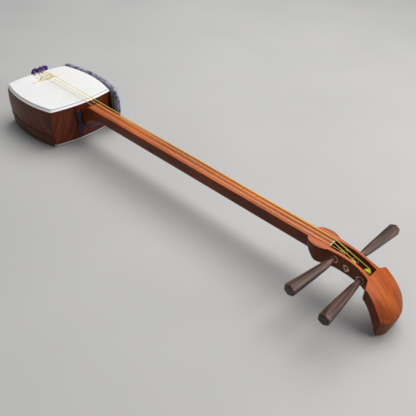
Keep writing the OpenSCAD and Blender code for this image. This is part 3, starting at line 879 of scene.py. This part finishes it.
def head_depth(u):
    if u <= 62:
        return (NECK_DEPTH + 8.8 * ease(u, -33, -15) - 2.8 * ease(u, 0, 20)
                + 2.5 * ease(u, 40, 62))
    depth = min(35.5 + 0.14 * (u - 62) + 0.0195 * (u - 62) ** 2, NUT_Z - 0.3)
    return depth - 25 * (max(u - 119, 0) / 6) ** 2


def head_section(u):
    x = NUT_X + u
    if u <= -36.3:
        return neck_section(x)
    half = head_half(u)
    back_z = NUT_Z - head_depth(u)
    back_r = NECK_BACK_R - 7 * ease(u, 0, 80)
    if u > 112:
        back_r = min(back_r, max((front_z(u, half) - back_z) * 0.55, 0.5))
    ring = section(x, half, lambda y: front_z(u, y), back_z, back_r, corner_r=0.6,
                   power=0.76 - 0.2 * ease(u, -20, 70))
    if u >= -14:
        return ring
    undercut = []                        # lower down, the bulb starts nearer the nut
    for _, y, z in ring:
        t = min(max((NUT_Z - z) / 28.0, 0.0), 1.0)
        narrow = max(NUT_W / 2, min(half, head_half(u - 7.5 * t ** 1.6)))
        undercut.append((x, y * narrow / half, z))
    return undercut


class Peg:
    """Peg frame: Z runs along the peg towards its handle, the origin is inside the head."""

    def __init__(self, number, u, z, turn, tilt, winding):
        rotation = (Matrix.Rotation(radians(turn), 3, "Z")
                    @ Matrix.Rotation(radians(90 + tilt), 3, "X"))
        self.number = number
        self.rotation = np.array(rotation)
        self.origin = np.array(Vector((NUT_X + u, 0, NUT_Z + z)))
        self.wall = head_half(u)         # outer face of the head along the peg
        self.winding = winding           # start, greatest radius, length

    def place(self, shape):
        verts, faces = shape
        return [tuple(self.rotation @ np.array(v, float) + self.origin) for v in verts], faces


PEGS = [Peg(3, u=17, z=-11.5, turn=-8.5, tilt=3, winding=(-2.5, 4.9, 2.0)),
        Peg(2, u=36, z=-17, turn=173.8, tilt=-4, winding=(0.1, 5.4, 3.0)),
        Peg(1, u=60, z=-22.5, turn=0, tilt=3, winding=(-7.4, 6.2, 4.4))]
HEAD_U = [JOINT_2 - NUT_X + CHAMFER_LEN, -220, -180, -140, -100, -70, -50, -40, -36.4,
          *np.arange(-36, 4.1, 1.0), *np.arange(6, 69, 2.6), *np.arange(69.5, 79, 0.75),
          *np.arange(80, 110, 2.0), 111, 111.6, 112.2, *np.arange(113, 122, 0.9), 122.4, 123,
          123.5, 124, 124.35, 124.65, 124.85]


def prism(outline, low, high):
    """Upright prism over (x, y) points, x from the nut."""
    return loft([[(NUT_X + x, y, z) for x, y in outline] for z in (low, high)])


def build_head():
    head = mesh_object("upper_neck_and_head",
                       loft([neck_section(JOINT_2, CHAMFER)] + [head_section(u) for u in HEAD_U]),
                       weld=False)
    slot = [(0.8, -10.5), (69.2, -9.52), (70, -8.7), (70, 8.7), (69.2, 9.52), (0.8, 10.5)]
    seat = [(-2, -10.5), (1, -10.5), (1, 5.5), (-2, 5.5)]
    holes = [peg.place(loft(lathe([(radius, start), (radius, end)], 40)))
             for peg in PEGS
             for radius, start, end in ((5.5, 8.0, 40.0), (4.5, -40.0, -8.0))]
    cut(head, [mesh_object("slot_cut", prism(slot, 20.0, 110.0), weld=False),
               mesh_object("seat_cut", prism(seat, NUT_Z - 2, 110.0), weld=False),
               mesh_object("hole_cut", join(*holes), weld=False)])
    dress(head, neck_wood("neck_wood_upper"), "upper_neck_head", "neck_wood", sharp=24)


build_head()


# ---------------------------------------------------------------- nut and bushings
def nut():
    """Metal strip with a groove for the medium and for the thin string."""
    back, front, low, high = NUT_X - 1.5, NUT_X + 0.4, -10.2, 5.2
    base = NUT_Z - 2
    rings = []
    for y in np.linspace(low, high, 78):
        end = min(1.0, min(y - low, high - y) / 0.5 + 0.35)
        groove = max(0.28 * exp(-((y - string_y) / width) ** 2)
                     for string_y, width in zip(NUT_STRING_Y[1:], (0.5, 0.4)))
        top = NUT_Z + 1.1 - groove - 0.25 * (1 - end)
        rings.append([(back, y, base), (front, y, base), (front, y, top - 0.45),
                      (front - 0.35, y, top - 0.1), (front - 0.8, y, top),
                      (back + 0.8, y, top), (back + 0.35, y, top - 0.1),
                      (back, y, top - 0.45)])
    return loft(rings)


add("nut_strip", nut(), NUT_METAL, "nut", "nut_metal", sharp=45)

# Closed profiles: a fixed part as (radius, z), then (radius, z beyond the head's outer face).
BUSHINGS = {
    "handle": (1, [(4.06, 9.3), (4.4, 9.0), (5.3, 9.0), (5.55, 9.3)],
               [(5.55, -0.2), (6.2, -0.2), (6.4, 0), (6.42, 0.3), (6.2, 0.6), (5.8, 0.74),
                (5.3, 0.6), (4.9, 0.1), (4.6, -1.2), (4.06, -1.6)]),
    "tip": (-1, [(3.06, 9.3), (3.4, 9.0), (4.3, 9.0), (4.55, 9.3)],
            [(4.55, -0.2), (5.8, -0.2), (6.05, 0), (6.1, 0.3), (5.85, 0.55), (5.4, 0.7),
             (4.9, 0.6), (4.5, 0.2), (4.25, -1.2), (3.06, -1.4)])}

for peg in PEGS:
    for end, (sign, inside, outside) in BUSHINGS.items():
        profile = [(r, sign * z) for r, z in inside]
        profile += [(r, sign * (peg.wall + z)) for r, z in outside]
        add(f"bushing_ring_{peg.number}_{end}", peg.place(loft(lathe(profile), closed=True)),
            BRASS, f"bushing_{peg.number}_{end}", "bushing_brass", sharp=40)

# ---------------------------------------------------------------- pegs and windings
# Handle as (radius, z beyond the head's outer face, 0 round to 1 six-sided)
HANDLE_ROOT = [(3.98, 1.0, 0), (4.25, 1.4, 0), (4.3, 2.2, 0), (4.28, 4, 0), (4.35, 6, 0),
               (4.55, 8, 0), (4.9, 10, 0.05), (5.3, 12, 0.2), (5.65, 14, 0.42),
               (5.9, 16, 0.66), (6.1, 18, 0.85), (6.3, 20.5, 0.97)]
HANDLE_END = [(10.05, 94.0, 1.0), (9.4, 95.0, 1.0), (8.7, 95.75, 0.97), (8.35, 95.95, 0.95),
              (7.9, 95.9, 0.95), (7.5, 95.5, 0.95), (4.0, 95.55, 0.9), (0.8, 95.6, 0.9)]


def peg_shape(wall):
    tip = [(0.6, 1.0), (2.5, 1.0), (2.95, 1.4), (3.0, 2.0)]
    profile = [(r, z - wall, 0) for r, z in tip]
    profile += [(3.0, -8.8, 0), (3.35, -8.6, 0), (3.35, 8.6, 0), (3.95, 8.9, 0)]
    flare = [(6.4 + (10.2 - 6.4) * t ** 0.9, 20.5 + (93.2 - 20.5) * t, 1.0)
             for t in np.linspace(0.06, 1, 12)]
    profile += [(r, wall + z, six) for r, z, six in HANDLE_ROOT + flare + HANDLE_END]
    rings = []
    for r, z, six in profile:
        ring = []
        for k in range(72):
            a = 2 * pi * k / 72
            from_flat = ((a + pi / 6) % (pi / 3)) - pi / 6
            flat_r = min(r * cos(pi / 6) / cos(from_flat), r * 0.987)
            reach = r * (1 - six) * 0.955 + flat_r * six if six > 0 else r
            ring.append((reach * cos(a), reach * sin(a), z))
        rings.append(ring)
    return loft(rings)


for peg in PEGS:
    axis = peg.rotation @ np.array([0, 0, 1.0])
    offset = float(peg.origin @ axis)
    material = peg_material(f"peg_rosewood_{peg.number}", 1.7 * peg.number, to_x(axis),
                            handle_end=(offset + peg.wall + 95.9) * MM,
                            tip_end=(offset - peg.wall + 1.0) * MM)
    add(f"tuning_peg_{peg.number}", peg.place(peg_shape(peg.wall)), material,
        f"peg_{peg.number}", "peg_wood", sharp=24, body=f"peg_{peg.number}")


def winding(start, radius, length):
    """Silk in helical turns round the peg, thickest at the middle."""
    sides, pitch, overrun = 40, 1.15, 1.2
    span = length + 2 * overrun
    rows = int(span / 0.14)
    turns = [2 * pi * k / sides for k in range(sides)]
    rings = []
    for i in range(rows + 1):
        t = i / rows
        z = -overrun + span * t
        hill = 3.9 + (radius - 3.9) * min(1.0, sqrt(sin(pi * t)) * 1.05)
        ring = []
        for a in turns:
            r = hill - 0.32 + 0.34 * abs(cos(pi * z / pitch + a / 2))
            ring.append((r * cos(a), r * sin(a), start + z))
        rings.append(ring)
    rings += lathe([(3.42, start + length + 1.15), (3.42, start - 1.15)], sides)
    return loft(rings, closed=True)


# peg 3's winding gets the silk with painted shade
for peg in PEGS:
    add(f"silk_winding_{peg.number}", peg.place(winding(*peg.winding)),
        THIN_WINDING_SILK_PAINTED_SHADE if peg.number == 3 else WINDING_SILK,
        f"winding_{peg.number}", "string_silk", sharp=60, body=f"peg_{peg.number}")

# ---------------------------------------------------------------- strings
KNOT_X = -82.5
KNOT_SIZE = [0.48, 0.34, 0.34]
NUT_LIFT = [0.3, 0.95, 0.95]             # string underside above the neck face
STRING_END = [(61.8, 7.0, -15.40), (38.0, 1.6, -11.40), (19.2, 0.8, -6.52)]  # from the nut


def silk_string(i):
    radius = STRING_R[i]
    end_u, end_y, end_z = STRING_END[i]
    knot_at = np.array([KNOT_X, TAIL_STRING_Y[i], BODY_H + 3.3])
    stops = [knot_at,
             np.array([BRIDGE_X, BRIDGE_STRING_Y[i], BODY_H + BRIDGE_H + radius - 0.35]),
             np.array([NUT_X - 0.6, NUT_STRING_Y[i], NUT_Z + NUT_LIFT[i] + radius]),
             np.array([NUT_X + end_u, end_y, NUT_Z + end_z])]
    path = []
    for start, end in zip(stops, stops[1:]):
        count = int(np.linalg.norm(end - start))
        path += [start + (end - start) * t for t in np.linspace(0, 1, count, endpoint=False)]
    path = np.array(path + [stops[-1]])
    for _ in range(2):                   # soften the bends
        path[1:-1] = (path[:-2] + 2 * path[1:-1] + path[2:]) / 4
    across, up, rise = trefoil(60)
    knot = np.stack([across, up, rise * 1.1], 1) * KNOT_SIZE[i]
    return join(tube(path, radius, 10, twist(pitch=5.0, depth=0.16)),
                tube(knot + knot_at + np.array([-0.6, 0, -0.2]), radius * 0.9, 8, closed=True))


for i, silk in enumerate(STRING_SILKS):
    add(f"silk_string_{i + 1}", silk_string(i), silk, f"string_{i + 1}", "string_silk")

# ---------------------------------------------------------------- bridge
# (distance from the middle, height) of the top edge outside the string notches
BRIDGE_TOP = [(13.0, 10.0), (13.8, 9.7), (14.4, 8.9), (15.2, 7.2), (16.2, 4.9), (17.6, 3.0),
              (19.2, 2.1), (22, 1.8), (28, 1.5), (34.2, 1.2), (35, 0.9)]
# (distance from the middle, height) of the opening between the feet
BRIDGE_ARCH = [(-12.6, 2.3), (-12.3, 3.4), (-11.2, 5.8), (-9.4, 7.0), (-4, 7.4), (0, 7.45),
               (4, 7.4), (9.4, 7.0), (11.2, 5.8), (12.3, 3.4), (12.6, 2.3), (11.6, 1.9),
               (0, 1.8), (-11.6, 1.9)]


def bridge_top(y):
    distance = abs(y)
    if distance > 13.0:
        return float(np.interp(distance, *zip(*BRIDGE_TOP)))
    z = BRIDGE_H
    for string_y, radius in zip(BRIDGE_STRING_Y, STRING_R):
        z -= 0.75 * exp(-((y - (string_y - BRIDGE_Y)) / (0.55 + radius * 0.5)) ** 4)
    return z


def build_bridge():
    stations = {round(v, 3) for v in np.linspace(-35, 35, 141)}
    stations |= {sign * y for y, _ in BRIDGE_TOP for sign in (1, -1)}
    levels = [0.0, 0.25, 0.6, 0.85, 1.0]
    rings = []
    for y in sorted(stations):
        top = bridge_top(y)
        end = min(1.0, (35.0 - abs(y)) / 1.2 + 0.45)
        neck_face, tail_face = [], []
        for level in levels:
            z = top * level
            half = float(np.interp(z, [0, 1.2, 2.4, 5, 10], [2.5, 2.4, 1.9, 1.3, 0.85])) * end
            place = (y + BRIDGE_Y, BODY_H + 0.03 + z)
            neck_face.append((BRIDGE_X + half, *place))
            tail_face.append((BRIDGE_X - half * (1.0 if level < 0.7 else 1.15), *place))
        rings.append(neck_face + tail_face[::-1])
    bridge = mesh_object("bamboo_bridge", loft(rings), weld=False)
    arch = loft([[(x, BRIDGE_Y + y, BODY_H + z) for y, z in BRIDGE_ARCH]
                 for x in (BRIDGE_X - 8, BRIDGE_X + 8)])
    cut(bridge, [mesh_object("arch_cut", arch, weld=False)])
    dress(bridge, bamboo_material(), "bridge", "bamboo", sharp=30, body="bridge")


build_bridge()

# ---------------------------------------------------------------- tail cord
RING_Z = 46                              # centre of the rings round the spike
TAIL_RINGS = [(10.2, 0.0, -104.9), (12.6, 1.3, -106.6), (10.6, 2.6, -108.0)]  # radius, phase, x
ARCH_Y = [28.0, 17.5, 3.0]               # where the cord arches over the rim
# Arch from the rings over the rim and back: x, share of the arch's y, y shift, z
ARCH_PATH = [
    (-106.5, 0.35, -2.5, 56), (-104.6, 0.6, -3.5, 68), (-103.4, 0.85, -5.0, 78),
    (-102.4, 1, -6.2, 85), (-100.2, 1, -5.8, 91.0), (-97.8, 1, -3.2, 95.2),
    (-96.6, 1, 0.4, 96.6), (-96.8, 1, 3.8, 94.6), (-98.6, 1, 5.4, 90.4), (-101.2, 1, 4.8, 85),
    (-103.4, 0.85, 3.4, 78), (-104.8, 0.6, 2.6, 68), (-106.0, 0.35, 2.5, 57)]
# Thin loop from the string's knot round the arch: x, share of the way in y, y shift, z
LOOP_PATH = [
    (-83.4, 0, -0.4, 93.6), (-86.5, 0.2, -0.8, 95.0), (-90.5, 0.5, -1.2, 94.8),
    (-95.4, 0.85, -0.5, 93.2), (-99.6, 1, 1.6, 90.0), (-102.9, 1, 0.6, 86.0),
    (-102.2, 1, -2.4, 84.5), (-99.2, 1, -2.6, 88.0), (-95.2, 0.85, 0.6, 91.9),
    (-90.4, 0.5, 1.5, 93.0), (-86.5, 0.2, 1.2, 93.4), (-83.4, 0, 0.7, 93.0)]


def tail_cord():
    parts = []
    t = np.linspace(0, 2 * pi, 150, endpoint=False)
    for radius, phase, x in TAIL_RINGS:
        ring = np.stack([x + 0.5 * np.sin(4 * t + phase), radius * np.cos(t),
                         RING_Z + radius * np.sin(t)], 1)
        parts.append(tube(ring, 2.0, 12, braid(pitch=6.0, depth=0.15), closed=True))
    for arch_y, knot_y in zip(ARCH_Y, TAIL_STRING_Y):
        path = spline([(x, arch_y * share + dy, z) for x, share, dy, z in ARCH_PATH], 0.8)
        parts.append(tube(path, 2.95, 14, braid(pitch=7.5, depth=0.14)))
        path = spline([(x, knot_y + (arch_y - knot_y) * share + dy, z)
                       for x, share, dy, z in LOOP_PATH], 0.8)
        radii = [1.2] * 4 + [1.55] * (len(path) - 4)
        parts.append(tube(path, radii, 12, braid(pitch=5.0, depth=0.15)))
    return join(*parts)


add("tail_cord_loops", tail_cord(), PURPLE, "tail_cord", "purple_cord")

# ---------------------------------------------------------------- arm cover
COVER_TAIL_X = -95.0
COVER_INSET = 0.72                       # pulled in before the cloth is blown up
# Closed section: offset from the arm arc, height, share of the extra padding
COVER_SECTION = [
    (4.0, 9.6, 0), (6.5, 9.0, 0), (10.2, 9.2, 0), (13.0, 11.5, 0), (14.4, 18, 0.5),
    (14.9, 30, 1), (15.1, 45, 1), (15.2, 60, 1), (15.3, 74, 0.8), (15.4, 83, 0),
    (15.1, 87.4, 0), (13.9, 90.4, 0), (11.4, 91.9, 0), (8.2, 92.2, 0), (5.2, 92.0, 0),
    (3.0, 91.3, 0), (1.9, 89.9, 0), (1.85, 88.2, 0), (2.6, 87.2, 0), (3.6, 86.2, 0),
    (4.0, 84, 0), (4.0, 70, 0), (4.0, 50, 0), (4.0, 30, 0)]


def cover_point(x, offset, z):
    """Point over the arm side; towards the neck end it moves inward."""
    radius = SIDE_R + (offset + swell_at(z) * 0.25 - 1.92 * max(0.0, (x - 78) / 30.0))
    return (x, SIDE_C + sqrt(radius * radius - x * x), z)


def cover_neck_x(offset, z):
    """Neck end of the cover: further out at the outer face and at mid height."""
    bulge = 1 - ((z - 52) / 42) ** 2
    return 103.5 + 4.0 * bulge + (offset - 4.0) / 11.5 * (6.5 + 1.5 * bulge)


def cover_shape():
    count = 72
    rings = []
    for i in range(count):
        s = i / (count - 1)
        pinch = 1.2 * (1 - min(1.0, min(s, 1 - s) / 0.035))      # rounds off both ends
        padding = 2.2 * ease(s, 0.55, 0.95)
        ring = []
        for offset, height, share in COVER_SECTION:
            g = offset + share * padding
            g += COVER_INSET + pinch * 0.8 if g < 8 else -COVER_INSET - pinch * 1.2
            z = height + (COVER_INSET + pinch * 1.4) * (1 if height < 50 else -1)
            start = COVER_TAIL_X - 3.0 * (g / 15.0)
            ring.append(cover_point(start + (cover_neck_x(g, z) - start) * s, g, z))
        rings.append(ring)
    return loft(rings)


def vertex_array(mesh):
    return np.array([v.co for v in mesh.vertices], float)


def inflate(cover):
    """Pads the cover with a short pressure cloth run, its travel capped."""
    frames, travel_cap = 20, 0.0022
    remesh = cover.modifiers.new("r", "REMESH")
    remesh.mode = "VOXEL"
    remesh.voxel_size = 0.0038
    bake(cover)
    rest = vertex_array(cover.data)
    cloth = cover.modifiers.new("c", "CLOTH")
    settings = cloth.settings
    settings.use_pressure = True
    settings.uniform_pressure_force = 4.0
    settings.effector_weights.gravity = 0.0
    settings.quality = 6
    settings.mass = 0.25
    settings.tension_stiffness = 14
    settings.compression_stiffness = 14
    settings.shear_stiffness = 6
    settings.bending_stiffness = 0.35
    cloth.collision_settings.use_collision = False
    cloth.point_cache.frame_start = 1
    cloth.point_cache.frame_end = frames
    scene = bpy.context.scene
    scene.frame_start = 1
    scene.frame_end = frames
    for number in range(1, frames + 1):
        scene.frame_set(number)
    graph = bpy.context.evaluated_depsgraph_get()
    moved = vertex_array(cover.evaluated_get(graph).data)
    cover.modifiers.clear()
    scene.frame_set(1)
    travel = moved - rest
    length = np.linalg.norm(travel, axis=1)
    travel *= (np.minimum(length, travel_cap) / np.maximum(length, 1e-9))[:, None]
    cover.data.vertices.foreach_set("co", (rest + travel).ravel())
    cover.data.update()
    smooth = cover.modifiers.new("s", "SMOOTH")
    smooth.factor = 0.5
    smooth.iterations = 2
    subdivide = cover.modifiers.new("d", "SUBSURF")
    subdivide.levels = 1
    subdivide.render_levels = 1
    bake(cover)


def pucker(cover):
    """Soft puckers along the pad's upper and lower edges, and a slow wave over its face."""
    points = vertex_array(cover.data) * 1000
    x, y, z = points.T
    angle = np.arctan2(x, y - SIDE_C)
    offset = np.hypot(x, y - SIDE_C) - SIDE_R
    along = angle * SIDE_R
    upper = np.sin(along / 6.3 + 1.3 * np.sin(along / 31.0)) * np.exp(-((z - 88) / 6.0) ** 2)
    lower = np.sin(along / 7.7 + 1.0 + 0.04 * z) * np.exp(-((z - 12) / 7.0) ** 2)
    slow = np.sin(along / 23.0 + z / 17.0) * np.sin(along / 41.0 - z / 29.0 + 0.7)
    move = np.where(offset > 5.0, 0.32 * upper + 0.30 * lower + 0.35 * slow, 0.0)
    points[:, 0] += np.sin(angle) * move
    points[:, 1] += np.cos(angle) * move
    cover.data.vertices.foreach_set("co", (points / 1000).ravel())
    cover.data.update()


arm_cover = mesh_object("arm_cover_brocade", cover_shape(), weld=False)
inflate(arm_cover)
pucker(arm_cover)
dress(arm_cover, brocade_material(), "arm_cover_cloth", "brocade")

BOARD = board_material()
board_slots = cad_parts["arm_cover_board"].data.materials
if len(board_slots):
    for i in range(len(board_slots)):
        board_slots[i] = BOARD
else:
    board_slots.append(BOARD)


def lining():
    """Thin sheet on the inner face of the cover."""
    offset, thickness = 3.55, 0.75
    heights = np.linspace(11.5, 86, 16)
    profile = [(offset, z) for z in heights]
    profile += [(offset - thickness, z + (0.35 if z < 40 else -0.35 if z > 84 else 0))
                for z in heights[::-1]]
    count = 60
    rings = []
    for i in range(count):
        ring = []
        for g, z in profile:
            start = COVER_TAIL_X - 1.0
            x = start + (cover_neck_x(3.0, z) + 0.4 - start) * (i / (count - 1))
            ring.append(cover_point(x, g + 0.10 * sin(x / 5.1 + z / 9.0), z))
        rings.append(ring)
    return loft(rings)


add("arm_cover_inner_lining", lining(), lining_material(), "arm_cover_lining", "navy_lining")

# ---------------------------------------------------------------- navy cords: x, y, z
NECK_CORD = [(103.5, 74.5, 43), (103.0, 70, 40), (102.8, 60, 36.5), (103.4, 44, 31),
             (104.2, 28, 28), (104.4, 12, 27.6), (104.4, 0, 29.2), (104.6, -9.5, 31.6),
             (104.9, -15.0, 36.6), (105, -17.2, 42), (105, -18.2, 45)]
BOW_LOOPS = [
    [(105.4, -19.2, 47), (104.8, -22.6, 54), (103.6, -24.2, 62), (102.6, -22.8, 70.5),
     (102.4, -20.0, 74), (102.8, -17.4, 70.5), (104.0, -16.8, 61), (105.0, -17.6, 53),
     (105.6, -18.4, 47)],
    [(105.8, -19.0, 47), (106.6, -21.0, 54.5), (106.4, -21.8, 63), (105.2, -19.6, 68.5),
     (104.8, -17.6, 64), (105.4, -17.6, 55), (105.8, -18.2, 47.5)]]
BOW_ENDS = [[(105.2, -19.4, 45.5), (104.8, -21.6, 40), (104.6, -23.6, 31), (104.4, -24.8, 20.5)],
            [(105.9, -18.2, 45.5), (107.4, -17.6, 38), (108.0, -17.8, 28), (107.4, -17.2, 16.5)]]
TAIL_CORD = [(-97.4, 76.5, 42), (-98.6, 70, 41), (-101, 60, 39), (-104.6, 40, 36),
             (-107.2, 22, 32), (-107.6, 12, 29.5), (-107.2, 4, 28.6), (-106.6, -3, 30)]
TAIL_END = [(-107, 3, 29), (-108.4, 1.0, 22), (-107.6, -1.5, 13)]
NAVY_BRAID = braid(pitch=4.2, depth=0.16)


def navy_tube(points, radius, step=0.7):
    return tube(spline(points, step), radius, 12, NAVY_BRAID)


def navy_knot(centre, radius):
    across, up, rise = trefoil(110)
    knot = np.stack([rise * 1.5, across, up * 1.25], 1) * 1.02
    return tube(knot + np.array(centre), radius, 10, NAVY_BRAID, closed=True)


def bow_end(points):
    """Hanging end that thickens towards its tip."""
    count = len(spline(points, 0.6))
    radii = [1.45 + 0.75 * ease(k / count, 0.70, 0.95) for k in range(count)]
    return navy_tube(points, radii, 0.6)


add("navy_cord_bow",
    join(navy_tube(NECK_CORD, 1.5), navy_knot((105.4, -18.6, 46.2), 1.3),
         *[navy_tube(points, 1.6) for points in BOW_LOOPS],
         *[bow_end(points) for points in BOW_ENDS]),
    NAVY, "arm_cord_neck", "navy_cord")
add("navy_cord_tail",
    join(navy_tube(TAIL_CORD, 1.5), navy_knot((-107.0, 4.0, 29.0), 1.25),
         navy_tube(TAIL_END, 1.2)),
    NAVY, "arm_cord_tail", "navy_cord")


# ---------------------------------------------------------------- floor, lights, camera: metres
def build_floor():
    cells, size, centre_x, z = 12, 40.0, 0.3, -0.0004
    row = cells + 1
    verts = [((i / cells - 0.5) * size + centre_x, (j / cells - 0.5) * size, z)
             for j in range(row) for i in range(row)]
    faces = [(j * row + i, j * row + i + 1, (j + 1) * row + i + 1, (j + 1) * row + i)
             for j in range(cells) for i in range(cells)]
    mesh = bpy.data.meshes.new("floor_plane")
    mesh.from_pydata(verts, [], faces)
    mesh.update()
    floor = bpy.data.objects.new("floor_plane", mesh)
    bpy.context.scene.collection.objects.link(floor)
    mesh.materials.append(floor_material())


def light(name, kind, location, direction, **settings):
    data = bpy.data.lights.new(name, kind)
    for key, value in settings.items():
        setattr(data, key, value)
    lamp = bpy.data.objects.new(name, data)
    bpy.context.scene.collection.objects.link(lamp)
    lamp.location = location
    lamp.rotation_euler = direction.to_track_quat("-Z", "Y").to_euler()


def area_light(name, location, target, size, energy, color):
    light(name, "AREA", location, Vector(target) - Vector(location), shape="RECTANGLE",
          size=size[0], size_y=size[1], energy=energy, color=color)


def build_world():
    light_strength, backdrop_strength = 0.20, 0.55
    world = bpy.data.worlds.new("studio_world")
    bpy.context.scene.world = world
    world.use_nodes = True
    tree = world.node_tree
    background = tree.nodes["Background"]
    background.inputs["Color"].default_value = (0.95, 0.97, 1.0, 1)
    background.inputs["Strength"].default_value = light_strength
    # the backdrop seen by the camera is paler than the light it gives
    path = tree.nodes.new("ShaderNodeLightPath")
    strength = tree.nodes.new("ShaderNodeMapRange")
    strength.inputs[3].default_value = light_strength
    strength.inputs[4].default_value = backdrop_strength
    tree.links.new(path.outputs["Is Camera Ray"], strength.inputs[0])
    tree.links.new(strength.outputs[0], background.inputs["Strength"])


def build_camera():
    data = bpy.data.cameras.new("camera")
    camera = bpy.data.objects.new("camera", data)
    bpy.context.scene.collection.objects.link(camera)
    data.sensor_width = 36.0
    data.sensor_fit = "HORIZONTAL"
    data.lens = 42.195505
    data.clip_start = 0.01
    data.clip_end = 50
    right = (0.72835319, 0.68413652, 0.03819493, 0)
    up = (-0.45494456, 0.44116058, 0.77356499, 0)
    backward = (0.51237396, -0.5808051, 0.6325649, 0)
    location = (0.932108, -0.527247, 0.583966, 1)
    camera.matrix_world = Matrix((right, up, backward, location)).transposed()
    bpy.context.scene.camera = camera


build_floor()
BODY_TARGET = (0.36, 0.0, 0.05)
KEY_PLACE, WARM_WHITE = (0.15, 0.95, 1.75), (1.0, 0.985, 0.96)
area_light("key_light", KEY_PLACE, BODY_TARGET, size=(2.2, 1.6), energy=28, color=WARM_WHITE)
light("room_light", "SUN", KEY_PLACE, Vector((0.21, -0.95, -1.70)), energy=1.35,
      angle=radians(55), color=WARM_WHITE)
area_light("head_light", (1.75, 0.45, 1.05), (0.5, 0.0, 0.05), size=(0.8, 0.8), energy=9.5,
           color=(1.0, 0.97, 0.93))
area_light("fill_light", (0.5, -1.9, 1.2), BODY_TARGET, size=(1.8, 1.0), energy=0.9,
           color=(0.97, 0.98, 1.0))
build_world()
build_camera()
view = bpy.context.scene.view_settings
view.view_transform = "Standard"
view.look = "None"
view.exposure = 0.0

bpy.context.view_layer.update()
